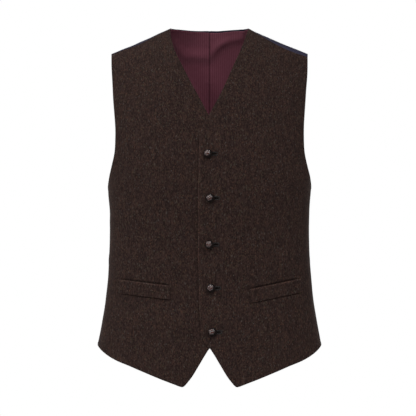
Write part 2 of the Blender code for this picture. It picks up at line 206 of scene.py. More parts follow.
# The grids of points on the panels.
CLOTH_STEP = 3.0 * MM
EDGE_STEPS = np.array([0.12, 0.4, 0.8, 1.3]) * MM
WELT_BAND = (0.34, 0.54)  # shares of a front's length below the armhole
WELT_BAND_STEP = 1.0 * MM
LAP_BAND = (0.15, 0.24)  # shares of the right front's width, where the left front's edge lies
LAP_BAND_STEP = 0.9 * MM
ARMHOLE_ROWS = 14  # rows that crowd towards the armhole's level lower edge
ARMHOLE_ROWS_TO = 0.09  # the share of the arch that they take up
PANEL_DROP = 310.0 * MM  # a panel's usual length below the armhole
PANEL_RISE = 290.0 * MM  # and above, along the arch
PANEL_WIDTH = 205.0 * MM
SOLVE_STEPS = 12
NECK_POINT_WITHIN = 0.1 * MM
NECK_COLUMN_CROWDING = 1.5  # above 1 the columns crowd towards the neck point
ARCH_SAMPLES = 400

# Soft folds, in millimetres: where each runs, how far out (or in, below 0) it goes and how wide it
# is. x is the distance from the middle. The columns are x0, z0, x1, z1, height and width.
LINING_MIDDLE_FOLD = (
    (0, -8, 0, -70, -2.4, 22),
)
LINING_LEFT_FOLDS = LINING_MIDDLE_FOLD + (
    (3, -26, 9, -14, -3.2, 8),
    (19, -5, 32, 0, -3.4, 8),
    (45, 2, 64, 5, -3, 8),
)
LINING_RIGHT_FOLDS = LINING_MIDDLE_FOLD + (
    (6, -26, 46, -26, -3.8, 10.5),
    (57, -16, 64, -6, -2.6, 9),
)
BACK_FOLDS = (
    (70, -250, 62, -430, -2.2, 12),
    (28, -392, 150, -376, 2.4, 13),
    (60, -440, 172, -408, 2, 12),
)
FRONT_FOLDS = (
    (117, -215, 121, -530, -1.6, 15),
    (112, -232, 168, -286, 1.6, 12),
    (60, -520, 84, -600, 1.6, 16),
    (128, -508, 158, -582, 1.8, 15),
)
# Finer creases, different on each side of the body.
FRONT_LEFT_CREASES = (
    (32, -262, 60, -300, 0.5, 9),
    (36, -346, 96, -366, 0.6, 10),
    (120, -330, 170, -348, -0.7, 9),
    (40, -430, 66, -446, 0.5, 8),
    (118, -150, 150, -210, 0.6, 11),
)
FRONT_RIGHT_CREASES = (
    (30, -240, 74, -262, 0.6, 10),
    (46, -398, 104, -386, -0.6, 9),
    (128, -310, 176, -338, 0.8, 9),
    (110, -120, 150, -190, 0.5, 12),
    (28, -512, 56, -548, 0.6, 10),
)
# The groove that the left front's edge presses into the right front beneath it.
LAP_CREASE = (
    (18, -180, 21.8, -320, -1, 2.2),
    (21.8, -324, 21.2, -412, -1, 2.2),
    (21.2, -416, 17.4, -512, -1, 2.2),
)
BACK_LEFT_CREASES = (
    (18, -352, 96, -366, 1.8, 7),
    (40, -415, 128, -398, -0.9, 7),
    (96, -330, 172, -352, 1.4, 8),
    (120, -140, 160, -220, 1.4, 10),
    (14, -60, 70, -38, -0.9, 9),
    (30, -470, 96, -484, 1.3, 9),
    (90, -500, 120, -556, -0.9, 10),
)
BACK_RIGHT_CREASES = (
    (12, -372, 110, -352, 1.6, 8),
    (52, -424, 150, -436, -0.8, 8),
    (110, -338, 174, -322, 1.3, 8),
    (126, -160, 158, -236, 1.3, 11),
    (20, -44, 60, -58, -0.8, 8),
    (24, -486, 80, -470, 1.4, 9),
    (60, -510, 84, -560, -0.8, 10),
)
# A swell just left of the seam between the linings, which reaches into the right one.
LINING_SWELL = {
    LEFT: ((8, 2, 8, -6, -3.2, 20),),
    RIGHT: ((-8, 2, -8, -6, -3.2, 20),),
}
# The curved fold across the top of the left lining.
LINING_S_FOLD = (
    (5, -20, 10, -12, -2, 6),
    (20, -3, 34, 2.5, -2.2, 6.5),
    (47, 5, 62, 8.5, -1.4, 6),
    (24, 10, 62, 15, -1.7, 9),
)
LINING_CREASES = (
    (10, -96, 60, -84, -0.7, 9),
    (20, -150, 110, -170, -1, 10),
    (30, -300, 140, -318, -1, 10),
    (14, -402, 90, -388, -0.9, 9),
)
# Slow unevenness of all cloth: each wave's length along x and along z, in millimetres, and phase.
WAVES = (
    (151, 233, 0.4),
    (-97, 141, 2.1),
    (67, -89, 4),
    (-43, -61, 1.3),
)

PUCKER_PITCH = 17.0 * MM  # the waves along the middle seam of the back
PUCKER_HEIGHT = 0.3 * MM
PUCKER_REACH = 9.0 * MM
PUCKER_DRIFT = 2.0  # how far, as an angle, those waves stray from even spacing
PUCKER_DRIFT_LENGTH = 5.3  # and over how many of them

# Pocket welts, in millimetres: inner_x, inner_z, outer_x and outer_z of the middles of their ends.
WELTS = {
    LEFT: (71.4, -469.4, 165, -452.2),
    RIGHT: (69, -463.4, 161, -454.2),
}
WELT_TALL = 24.5 * MM
WELT_WALL = 1.7 * MM
WELT_LIFT = 0.2 * MM
WELT_ROUND = 2.2 * MM  # its corners
WELT_STEP = 1.5 * MM
WELT_STANDS_OFF = 0.5 * MM  # its top edge, from the front
WELT_STANDS_FROM = 0.1  # the share of its height above its middle from which it stands off
WELT_CLOTH_AT = (0.4, 0.1)  # where on the cloth a welt is cut, clear of the fronts
WELT_ROLL = 1.5 * MM  # how far in from its edges it rolls over
# The pocket's mouth, a groove in the front along the top of the welt, and the seam along its foot,
# in millimetres. The columns are how far short of the welt's inner and outer end the mouth stops,
# then the foot, and how deep the mouth and the foot are.
POCKETS = {
    LEFT: (1.5, 12, 5, -1.5, 2.4, 1.5),
    RIGHT: (7, 5, -1.5, -1.5, 1.9, 1.4),
}
MOUTH_WIDTH = 1.9  # in millimetres too
MOUTH_ABOVE = 0.6  # how far above the welt the mouth's middle lies
FOOT_WIDTH = 1.5
FOOT_BELOW = 0.5

# Buttons, in millimetres: x, from the middle, and height. Then their sizes and those of their holes.
BUTTONS = (
    (-2.7, -217.8),
    (1.2, -295.7),
    (-0.2, -377.8),
    (2.7, -455),
    (5.1, -532.5),
)
BUTTON_RADIUS = 8.0 * MM
BUTTON_TALL = 8.0 * MM
BUTTON_LIFT = 0.5 * MM
BUTTON_CENTRE = 0.40 * BUTTON_TALL  # the height of its widest place
BUTTON_FOOT = math.radians(128.0)  # how far round from its crown it turns in to its shank
SHANK_RADII = (2.4 * MM, 2.2 * MM)
SHANK_CLEAR = 0.1 * MM  # how far the shank stays off the cloth
BUTTON_RINGS = 44
BUTTON_SIDES = 96
BUTTON_TURNS = (24, 52, 8, 35, 66)  # how far round each button has been sewn, in degrees
STRAP_WIDE = 0.66  # the angle that one woven leather strap takes up
STRAP_RELIEF = 1.0 * MM
STRAP_SQUARENESS = 4  # how flat a strap is across
STRAP_HEIGHT = (0.4, 0.6)  # its mean height, and how far it goes up and down over its neighbours
STRAPS_FADE = (math.radians(98.0), math.radians(116.0))
LIT_LEAN = math.radians(18)  # the leather is polished, and painted lit, round a point this far from the crown,
LIT_TURN = math.radians(145)  # up and towards the front's edge, the side the light comes from,
LIT_TO = math.radians(25)  # as far as this from it,
SHADED_FROM = math.radians(54)  # and painted dark from here on, as shade away from the light
SHADED_BELOW = 0.2  # the share of full polish and light below which a face takes the leather with painted shade
HOLE_INNER = 3.0 * MM  # how far a buttonhole starts before its button's middle
HOLE_OUTER = 15.0 * MM  # and how far it ends beyond it
HOLE_GAPE = 1.8 * MM  # half the width of the open slit
STITCH_LONG = 1.9 * MM
STITCH_STEP = 0.78 * MM
STITCH_RADIUS = 0.36 * MM
STITCH_RISE = np.array([-0.3, 0.75, 0.95, 0.75, -0.3])  # how it rises over the cloth, in its radii
STITCH_FROM = 0.7  # where it starts, as a share of the gape
END_STITCHES = 8  # spaces between the stitches round the outer end
END_ROUND = 0.6  # the curve that they start on, as a share of the gape
END_FLATTENED = 0.8  # how much shorter that end is than round
SLIT_WALL = 0.16 * MM  # the slit's inside, a thin strip on the cloth, dark with painted shade
SLIT_LIFT = 0.12 * MM
SLIT_ROLL = 0.1 * MM
SLIT_SQUARENESS = 6  # how square its outer end is
SLIT_ROWS, SLIT_COLUMNS = 20, 5
TACKS = 6  # prick stitches at each end of a welt
TACKS_REACH = 0.8  # the share of its height that they cover
TACK_IN = (1.2 * MM, 1.3 * MM)  # how far in from the welt's end each one starts and stops
TACK_TALL = 1.5 * MM
TACK_RADIUS = 0.22 * MM
TACK_RISE = 0.2 * MM * np.array([-1.0, 0.4, 0.7, 0.4, -1.0])
THREAD_SIDES = 6
THREAD_END = 0.5  # the share of its thickness that a stitch has where it goes into the cloth
OFF_THREAD = (0.31, 0.87, 0.38)  # a direction that no stitch runs along


# ---- points on the form
def smooth(rows, column, at):
    """Reads a column of a table at values of its first one, along a smooth curve, in metres."""
    known = next(iter(rows.values())) * MM
    value = rows[column] * MM
    slope = np.gradient(value, known)
    at = np.clip(np.asarray(at, float), known[0], known[-1])
    i = np.clip(np.searchsorted(known, at) - 1, 0, len(known) - 2)
    span = known[i + 1] - known[i]
    t = (at - known[i]) / span
    start = value[i] * (1 + 2 * t) * (1 - t) ** 2 + slope[i] * span * t * (1 - t) ** 2
    end = value[i + 1] * t * t * (3 - 2 * t) - slope[i + 1] * span * t * t * (1 - t)
    return start + end


def step(value, low, high):
    """Rises smoothly from 0 at low to 1 at high."""
    t = np.clip((value - low) / (high - low), 0.0, 1.0)
    return t * t * (3 - 2 * t)


def ring(side, height):
    """The half width, depth and squareness of the form at a height below the armholes."""
    half_width = smooth(RINGS, "half_width", height)
    depth = smooth(RINGS, side, height)
    squareness = smooth(RINGS, "squareness", height) / MM
    return half_width, depth, squareness


ARMHOLE_RING = {side: ring(side, ARMHOLE_BOTTOM) for side in ("front", "back")}


def along_shoulder(x):
    """How far x is from the neck point, at 0, to the shoulder tip, at 1."""
    return np.clip((np.abs(x) - NECK_POINT_X) / (SHOULDER_TIP_X - NECK_POINT_X), 0.0, 1.0)


def dip(t):
    """How far the shoulder line dips at a share of the way along it, not yet scaled."""
    return t * (1 - t) ** HOLLOW_SKEW


def shoulder_height(x):
    """The height of the shoulder line, carried on smoothly across the neck."""
    away = np.sqrt(np.asarray(x, float) ** 2 + RIDGE_ROUND_X**2)
    at_neck = math.sqrt(NECK_POINT_X**2 + RIDGE_ROUND_X**2)
    hollow = SHOULDER_HOLLOW * dip(along_shoulder(x)) / dip(1 / (1 + HOLLOW_SKEW))
    return NECK_POINT_Z - SHOULDER_SLOPE * (away - at_neck) - hollow


def arch_power(side, x):
    """How full the arch is at a distance from the middle."""
    middle, tip = ARCH_POWER[side]
    return middle + (tip - middle) * np.minimum(np.abs(x) / SHOULDER_TIP_X, 1.0)


def form_point(side, angle, rise):
    """A point of the form: angle goes round from the middle to the side seam, either way.

    A rise below 0 is the height below the armholes. Above 0 it is the angle along the arch over
    the shoulder, whose ridge is at a right angle, and beyond that it comes down the other side.
    """
    angle, rise = np.broadcast_arrays(np.asarray(angle, float), np.asarray(rise, float))
    out = -1.0 if side == "front" else 1.0
    turn, reach = np.abs(np.sin(angle)), np.abs(np.cos(angle))

    low_z = ARMHOLE_BOTTOM + np.minimum(rise, 0.0)
    half_width, depth, squareness = ring(side, low_z)
    low_x = np.sign(angle) * half_width * turn ** (2 / squareness)
    low_y = out * depth * reach ** (2 / squareness)

    lift = np.clip(rise, 0.0, math.pi)
    half_width, depth, squareness = ARMHOLE_RING[side]
    other = "back" if side == "front" else "front"
    high_x = np.sign(angle) * half_width * turn ** (2 / squareness)
    over = lift > math.pi / 2
    depth = np.where(over, ARMHOLE_RING[other][1], depth)
    power = np.where(over, arch_power(other, high_x), arch_power(side, high_x))
    share = np.sin(lift) ** (2 / power)
    high_z = ARMHOLE_BOTTOM + share * (shoulder_height(high_x) - ARMHOLE_BOTTOM)
    high_y = out * depth * reach ** (2 / squareness) * np.cos(lift)

    above = rise > 0
    x = np.where(above, high_x, low_x)
    y = np.where(above, high_y, low_y)
    z = np.where(above, high_z, low_z)
    return np.stack([x, y, z], axis=-1)


def form_normal(side, angle, rise):
    """The outward direction of the form at a point."""
    tiny = 1e-4
    edge = math.pi / 2
    along = form_point(side, np.clip(angle + tiny, -edge, edge), rise)
    along = along - form_point(side, np.clip(angle - tiny, -edge, edge), rise)
    up = form_point(side, angle, rise + tiny) - form_point(side, angle, rise - tiny)
    normal = np.cross(along, up) * (1.0 if side == "front" else -1.0)
    return normal / np.linalg.norm(normal, axis=-1, keepdims=True)


def locate(side, x, z):
    """The angle and rise of the point of the form that has this x and z."""
    below = np.minimum(z, ARMHOLE_BOTTOM)
    half_width, _, squareness = ring(side, below)
    share = np.clip((z - ARMHOLE_BOTTOM) / (shoulder_height(x) - ARMHOLE_BOTTOM), 0.0, 1.0)
    lift = np.arcsin(share ** (arch_power(side, x) / 2))
    rise = np.where(z < ARMHOLE_BOTTOM, z - ARMHOLE_BOTTOM, lift)
    angle = np.arcsin(np.clip(np.abs(x) / half_width, 0.0, 1.0) ** (squareness / 2))
    return np.sign(x) * angle, rise


def rise_at(side, x, forward):
    """The rise at x of a point this far in front of the ridge, or behind it where below 0."""
    half_width, _, squareness = ARMHOLE_RING[side]
    depth = np.where(forward > 0, ARMHOLE_RING["front"][1], ARMHOLE_RING["back"][1])
    room = depth * (1 - (x / half_width) ** squareness) ** (1 / squareness)
    return np.arccos((forward if side == "front" else -forward) / room)


def seam_rise(side, hand, x):
    """The rise of the shoulder seam at x."""
    x = np.clip(np.abs(x), 0.0, SHOULDER_TIP_X)
    forward = smooth(SEAM_FORWARD, SIDE[hand], x)
    return rise_at(side, x, forward + (SEAM_GAP / 2 if side == "front" else -SEAM_GAP / 2))


def back_top_rise(hand, x):
    """The rise of the top of a back: the neckline near the middle, then the shoulder seam."""
    x = np.abs(x)
    neckline = rise_at("back", np.minimum(x, NECK_POINT_X), -smooth(BACK_NECK, "behind_ridge", x))
    return np.where(x < NECK_POINT_X - NECK_POINT_WITHIN, neckline, seam_rise("back", hand, x))


# ---- grids of points on the panels
def shares(length, spacing, low_edge=True, high_edge=True):
    """Places along a length as shares of it, close together at an end where the cloth rolls over."""
    near = np.append(0.0, EDGE_STEPS) if low_edge else np.array([0.0])
    far = length - (np.append(0.0, EDGE_STEPS) if high_edge else np.array([0.0]))[::-1]
    count = round((far[0] - near[-1]) / spacing)
    return np.concatenate([near[:-1], np.linspace(near[-1], far[0], count + 1), far[1:]]) / length


def low_shares(banded):
    """The rows of a panel below the armhole, from the hem up; a front has more of them by its welt."""
    rows = shares(PANEL_DROP, CLOTH_STEP)
    if not banded:
        return rows
    low, high = WELT_BAND
    band = np.linspace(low, high, round((high - low) * PANEL_DROP / WELT_BAND_STEP))
    return np.concatenate([rows[rows < low], band, rows[rows > high]])


def high_shares():
    """The rows above the armhole's bottom, closer together where the armhole's edge is level."""
    rows = shares(PANEL_RISE, CLOTH_STEP)
    crowded = ARMHOLE_ROWS_TO * (np.arange(1, ARMHOLE_ROWS) / ARMHOLE_ROWS) ** 2
    return np.concatenate([crowded, rows[rows >= ARMHOLE_ROWS_TO]])


def low_height(hem, share, x):
    """The height at x of a row below the armholes; share is 0 at the hem and 1 at the top."""
    return ARMHOLE_BOTTOM - (1 - share) * (ARMHOLE_BOTTOM - smooth(hem, "height", np.abs(x)))


def high_height(side, top_rise, share, x):
    """The height at x of a row above the armholes; share is 0 at the bottom and 1 at the top."""
    angle, _ = locate(side, x, ARMHOLE_BOTTOM)
    return form_point(side, angle, share * top_rise(x))[..., 2]


def arch_share(side, share):
    """The part of the arch's whole angle that takes up this share of its length, at mid shoulder."""
    lift = np.linspace(0.0, math.pi / 2, ARCH_SAMPLES)
    angle, _ = locate(side, (NECK_POINT_X + SHOULDER_TIP_X) / 2, ARMHOLE_BOTTOM)
    steps = np.linalg.norm(np.diff(form_point(side, angle, lift), axis=0), axis=-1)
    length = np.append(0.0, np.cumsum(steps))
    return np.interp(share * length[-1], length, lift) / (math.pi / 2)


def settle(side, edge, height_of, column="from_middle"):
    """The angle at which a row meets an edge, whose table gives x by height."""
    z = np.float64(0.0)
    for _ in range(SOLVE_STEPS):
        x = smooth(edge, column, z)
        z = height_of(x)
    angle, _ = locate(side, x, z)
    return angle


def low_row(side, hem, share, angle):
    """The rises of a row below the armholes at these angles."""
    rise = np.zeros_like(angle)
    for _ in range(SOLVE_STEPS):
        x = form_point(side, angle, rise)[..., 0]
        rise = np.minimum(low_height(hem, share, x) - ARMHOLE_BOTTOM, 0.0)
    return rise


def panel_grid(side, inner_of, spread, hem, armhole, top_rise, lows, highs):
    """The angles and rises of a panel's points, rows from the hem up, from the inner edge out."""
    angles, rises = [], []
    for share in lows:
        angle = spread(inner_of(lambda x: low_height(hem, share, x)), math.pi / 2)
        angles.append(angle)
        rises.append(low_row(side, hem, share, angle))
    for way_up in highs:
        share = arch_share(side, way_up)

        def height_of(x):
            return high_height(side, top_rise, share, x)

        angle = spread(inner_of(height_of), settle(side, armhole, height_of))
        x = form_point(side, angle, 0.0)[..., 0]
        angles.append(angle)
        rises.append(share * top_rise(x))
    return np.array(angles), np.array(rises)


def round_corner(x, z, corner, along, across, reach):
    """Points near a corner moved so that the outline goes round it, like a square turned to a disc.

    along and across are the directions of the two edges that leave the corner.
    """
    directions = np.array([along, across]).T
    from_corner = np.stack([x - corner[0], z - corner[1]]).reshape(2, -1)
    a, b = np.linalg.solve(directions, from_corner)
    u, v = 1 - a / reach, 1 - b / reach
    near = (u > 0) & (v > 0)
    new_a = reach * (1 - u * np.sqrt(np.clip(1 - v * v / 2, 0, 1)))
    new_b = reach * (1 - v * np.sqrt(np.clip(1 - u * u / 2, 0, 1)))
    moved = directions @ np.stack([np.where(near, new_a, a), np.where(near, new_b, b)])
    return corner[0] + moved[0].reshape(x.shape), corner[1] + moved[1].reshape(x.shape)


def unit(x, z):
    """A direction of length 1 in the plane of the front view."""
    length = math.hypot(x, z)
    return x / length, z / length


def front_grid(hand, lows, highs):
    """The points of a front, as on the wearer's left, with its lowest point rounded."""
    places = shares(PANEL_WIDTH, CLOTH_STEP)
    if hand == RIGHT:
        low, high = LAP_BAND
        band = np.linspace(low, high, round((high - low) * PANEL_WIDTH / LAP_BAND_STEP))
        places = np.concatenate([places[places < low], band, places[places > high]])

    def spread(inner, outer):
        return inner + (outer - inner) * places

    def inner_of(height_of):
        return settle("front", FRONT_EDGE, height_of, SIDE[hand])

    def top_rise(x):
        return seam_rise("front", hand, x)

    angle, rise = panel_grid(
        "front", inner_of, spread, FRONT_HEM, FRONT_ARMHOLE, top_rise, lows, highs
    )
    points = form_point("front", angle, rise)
    x, z = points[..., 0], points[..., 2]
    x0, x1 = FRONT_HEM["from_middle"][:2] * MM
    z0, z1 = FRONT_HEM["height"][:2] * MM
    x2, z2 = FRONT_EDGE[SIDE[hand]][1] * MM, FRONT_EDGE["height"][1] * MM
    x, z = round_corner(x, z, (x0, z0), unit(x1 - x0, z1 - z0), unit(x2 - x0, z2 - z0), FRONT_TIP_ROUND)
    near = np.hypot(x - x0, z - z0) < FRONT_TIP_NEAR
    new_angle, new_rise = locate("front", x, z)
    return np.where(near, new_angle, angle), np.where(near, new_rise, rise)


def back_grid(hand, lows, highs, taken_in=0.0):
    """The points of a back, as on the wearer's left; taken_in brings in its armhole edge."""
    neck_angle, _ = locate("back", NECK_POINT_X, ARMHOLE_BOTTOM)
    seam_angle, _ = locate("back", SEAM_GAP / 2, ARMHOLE_BOTTOM)
    near = 1 - (1 - shares(NECK_POINT_X, CLOTH_STEP, high_edge=False)[:-1]) ** NECK_COLUMN_CROWDING
    far = shares(PANEL_WIDTH - NECK_POINT_X, CLOTH_STEP, low_edge=False)

    def spread(inner, outer):
        outer = outer - (taken_in if outer < math.pi / 2 else 0.0)
        return np.append(inner + (neck_angle - inner) * near, neck_angle + (outer - neck_angle) * far)

    def inner_of(height_of):
        return seam_angle

    def top_rise(x):
        return back_top_rise(hand, x)

    return panel_grid("back", inner_of, spread, BACK_HEM, BACK_ARMHOLE, top_rise, lows, highs)


# ---- cloth on the form
def ridges(folds, x, z):
    """The height of soft folds at a point, seen from the front."""
    total = np.zeros_like(x)
    for x0, z0, x1, z1, height, width in np.array(folds) * MM:
        length_sq = (x1 - x0) ** 2 + (z1 - z0) ** 2
        t = np.clip(((x - x0) * (x1 - x0) + (z - z0) * (z1 - z0)) / length_sq, 0.0, 1.0)
        away_sq = (x - x0 - t * (x1 - x0)) ** 2 + (z - z0 - t * (z1 - z0)) ** 2
        total = total + height * np.exp(-away_sq / width**2)
    return total


def unevenness(x, z, height):
    """Slow waves that keep the cloth from being perfectly smooth."""
    total = np.zeros_like(x)
    for along_x, along_z, phase in WAVES:
        total = total + np.sin(2 * math.pi * (x / (along_x * MM) + z / (along_z * MM)) + phase)
    return height * total / len(WAVES)


def puckers(x, z):
    """Small waves along the middle seam of the back, where its stitches draw up the cloth."""
    turn = 2 * math.pi * z / PUCKER_PITCH
    wave = np.sin(turn + PUCKER_DRIFT * np.sin(turn / PUCKER_DRIFT_LENGTH))
    return PUCKER_HEIGHT * wave * np.exp(-((x / PUCKER_REACH) ** 2))


def welt_line(row, rise, inner_short, outer_short):
    """A line along a welt at a height above its middle, which stops short of the welt's two ends."""
    inner_x, inner_z, outer_x, outer_z = row
    slope = (outer_z - inner_z) / (outer_x - inner_x)
    return (inner_x + inner_short, inner_z + rise + inner_short * slope,
            outer_x - outer_short, outer_z + rise - outer_short * slope)


def pocket_grooves(hand):
    """The folds that a pocket makes in its front: its mouth, and the seam along the welt's foot."""
    mouth_inner, mouth_outer, foot_inner, foot_outer, mouth_deep, foot_deep = POCKETS[hand]
    half = WELT_TALL / MM / 2
    mouth = welt_line(WELTS[hand], half + MOUTH_ABOVE, mouth_inner, mouth_outer)
    foot = welt_line(WELTS[hand], -half - FOOT_BELOW, foot_inner, foot_outer)
    return (
        (*mouth, -mouth_deep, MOUTH_WIDTH),
        (*foot, -foot_deep, FOOT_WIDTH),
    )


# The tables of folds of each panel, by hand. A front's pocket adds its grooves to them.
FRONT_TABLES = {
    LEFT: (FRONT_FOLDS, FRONT_LEFT_CREASES),
    RIGHT: (FRONT_FOLDS, FRONT_RIGHT_CREASES + LAP_CREASE),
}
BACK_TABLES = {LEFT: (BACK_FOLDS, BACK_LEFT_CREASES), RIGHT: (BACK_FOLDS, BACK_RIGHT_CREASES)}
LINING_TABLES = {
    LEFT: (BACK_FOLDS, LINING_LEFT_FOLDS, LINING_CREASES + LINING_S_FOLD, LINING_SWELL[LEFT]),
    RIGHT: (BACK_FOLDS, LINING_RIGHT_FOLDS, LINING_CREASES, LINING_SWELL[RIGHT]),
}
UNEVEN = {"front": 0.5 * MM, "back": 0.8 * MM}


def cloth(side, hand, angle, rise, depth, fold_tables, lap=0.0):
    """Points moved out of the form by -depth, by folds and by the lap, with the form's normals.

    A lap of 1 lies on top, and one of -1 beneath.
    """
    angle = angle * hand
    points = form_point(side, angle, rise)
    normal = form_normal(side, angle, rise)
    x, z = points[..., 0], points[..., 2]
    out = -depth + lap * LAP_STEP * (1 - step(x * hand, LAP_FULL_TO, LAP_GONE_BY))
    for folds in fold_tables:
        out = out + ridges(folds, x * hand, z)
    out = out + unevenness(x, z, UNEVEN[side])
    if side == "back":
        out = out + puckers(x, z)
    return points + normal * out[..., None], normal


def front_surface(hand, x, z, lift):
    """Points this far off the outside of a front, without its pocket's grooves, and the normals."""
    angle, rise = locate("front", x, z)
    return cloth("front", hand, angle, rise, -lift, FRONT_TABLES[hand], lap=hand)


# ---- shells
def edge_loop(rows, columns):
    """The points of a grid's edge in order round it: hem, outer edge, top, inner edge."""
    index = np.arange(rows * columns).reshape(rows, columns)
    return np.concatenate([index[0, :-1], index[:-1, -1], index[-1, :0:-1], index[:0:-1, 0]])


NO_LENGTH = 1e-18  # in square metres; keeps a stretch of edge without length from dividing by 0


def edge_distance(points, loop, chosen):
    """How far each point of a grid is from the chosen stretches of its edge."""
    flat = points.reshape(-1, 3)
    rim = flat[loop]
    tree = KDTree(int(chosen.sum()))
    for i in np.flatnonzero(chosen):
        tree.insert(rim[i], int(i))
    tree.balance()
    nearest = np.array([tree.find(place)[1] for place in flat])
    start = rim[nearest]
    away = np.linalg.norm(flat - start, axis=1)
    for way in (-1, 1):
        other = (nearest + way) % len(rim)
        run = rim[other] - start
        length_sq = np.maximum((run**2).sum(1), NO_LENGTH)
        t = np.clip(((flat - start) * run).sum(1) / length_sq, 0.0, 1.0)
        beside = np.linalg.norm(flat - start - t[:, None] * run, axis=1)
        away = np.where(chosen[other], np.minimum(away, beside), away)
    return away


def arc_lengths(points, axis):
    """The distance along a grid's rows or columns from their first point."""
    steps = np.linalg.norm(np.diff(points, axis=axis), axis=-1)
    return np.insert(np.cumsum(steps, axis=axis), 0, 0.0, axis=axis)


def cloth_uv(middle, hand):
    """Places on the cloth in metres: across from the middle of the body, and up along the warp."""
    across = arc_lengths(middle, 1) + middle[:, :1, 0] * hand
    up = arc_lengths(middle, 0) + middle[:1, :, 2]
    return np.stack([across * hand, up], axis=-1)


def add_mesh(name, verts, faces, finishes, uv=None, face_finish=None):
    """A smooth mesh object. uv holds a place for each vertex, and face_finish a finish for each face."""
    mesh = bpy.data.meshes.new(name)
    mesh.from_pydata([tuple(v) for v in verts], [], [tuple(f) for f in faces])
    if uv is not None:
        corners = np.zeros(len(mesh.loops), np.int32)
        mesh.loops.foreach_get("vertex_index", corners)
        layer = mesh.uv_layers.new(name="cloth")
        layer.uv.foreach_set("vector", np.asarray(uv, np.float32)[corners].ravel())
    for finish in finishes:
        mesh.materials.append(finish)
    if face_finish is not None:
        mesh.polygons.foreach_set("material_index", np.asarray(face_finish, np.int32))
    mesh.shade_smooth()
    mesh.validate()
    piece = bpy.data.objects.new(name, mesh)
    bpy.context.scene.collection.objects.link(piece)
    return piece


def rounded(away, reach):
    """Rises from 0 at an edge to 1 at this reach from it, as the quarter of a circle."""
    return np.sqrt(1 - (1 - np.clip(away / reach, 0.0, 1.0)) ** 2)


def mark(piece, name, values):
    """Gives each point of a piece a number, which its finish reads by this name."""
    layer = piece.data.attributes.new(name, "FLOAT", "POINT")
    layer.data.foreach_set("value", values.astype(np.float32))


def mark_highlight(piece, share):
    """Says how much painted highlight each point of a shell has, from 0 to 1, given that of its middle
    points.
    """
    mark(piece, "highlit", np.tile(share.ravel(), 2))


def shell(name, middle, normal, wall, roll, faces_out, uv, finishes, seams=None, bulk=0.0):
    """A closed thin shell: the two faces of a grid of points, and a rim between them.

    roll is how far in from a free edge the rolling starts. seams marks the points of the edge that
    are sewn to another piece, where the shell keeps its wall. bulk thickens it near its free edges.
    A second finish goes on the inner face, but for the strip of outer cloth inside the free edges.
    """
    rows, columns, _ = middle.shape
    loop = edge_loop(rows, columns)
    sewn = np.zeros(len(loop), bool) if seams is None else seams.reshape(-1)[loop]
    away = edge_distance(middle, loop, ~sewn)
    half = wall / 2 + bulk * np.exp(-(((away - EDGE_BULK_AT) / EDGE_BULK_WIDTH) ** 2))
    half = half * np.maximum(rounded(away, roll), RIM_SHARE)
    outer = half
    if sewn.any():
        into_seam = 1 - rounded(edge_distance(middle, loop, sewn), SEAM_ROLL)
        outer = half - SEAM_DIP * into_seam * half / half.max()
    flat, out = middle.reshape(-1, 3), normal.reshape(-1, 3)
    verts = np.concatenate([flat + out * outer[:, None], flat - out * half[:, None]])

    count = rows * columns
    index = np.arange(count).reshape(rows, columns)
    quads = np.stack([index[:-1, :-1], index[:-1, 1:], index[1:, 1:], index[1:, :-1]], -1).reshape(-1, 4)
    ahead = np.roll(loop, -1)
    rim = np.stack([ahead, loop, loop + count, ahead + count], -1)
    faces = np.concatenate([quads, quads[:, ::-1] + count, rim])
    faces = faces if faces_out else faces[:, ::-1]
    face_finish = np.zeros(len(faces), int)
    if len(finishes) > 1:
        turned = away[quads].mean(1) < TURN_IN
        face_finish[len(quads):2 * len(quads)] = np.where(turned, 0, 1)
    flat_uv = uv.reshape(-1, 2)
    return add_mesh(name, verts, faces, finishes, np.concatenate([flat_uv, flat_uv]), face_finish)


def sewn_edges(rows, columns, side_rows, top_from=0, middle=False):
    """The points of a panel's edge that are sewn to another piece.

    These are its side seam, its shoulder seam from a column outwards, and its middle if it has one.
    """
    seams = np.zeros((rows, columns), bool)
    seams[:side_rows, -1] = True
    seams[-1, top_from:] = True
    seams[:, 0] |= middle
    return seams


def open_side_seam(points, side, seam_rows):
    """Moves a panel's side edge back from the middle of the side seam."""
    points[:seam_rows, -1, 1] += (-1.0 if side == "front" else 1.0) * SEAM_GAP / 2
    return points


# ---- finishes
# The painted shadow of the seam down the middle of the backs and of their linings, a dark line
# where the seam's fold presses in, and the distances from its middle, as shares of its width, where
# it is darkest and where it is gone.
BACK_SEAM_SHADE_WIDTH = 1.0 * MM
LINING_SEAM_SHADE_WIDTH = 1.15 * MM
SEAM_SHADE_SPAN = (0.15, 0.7)


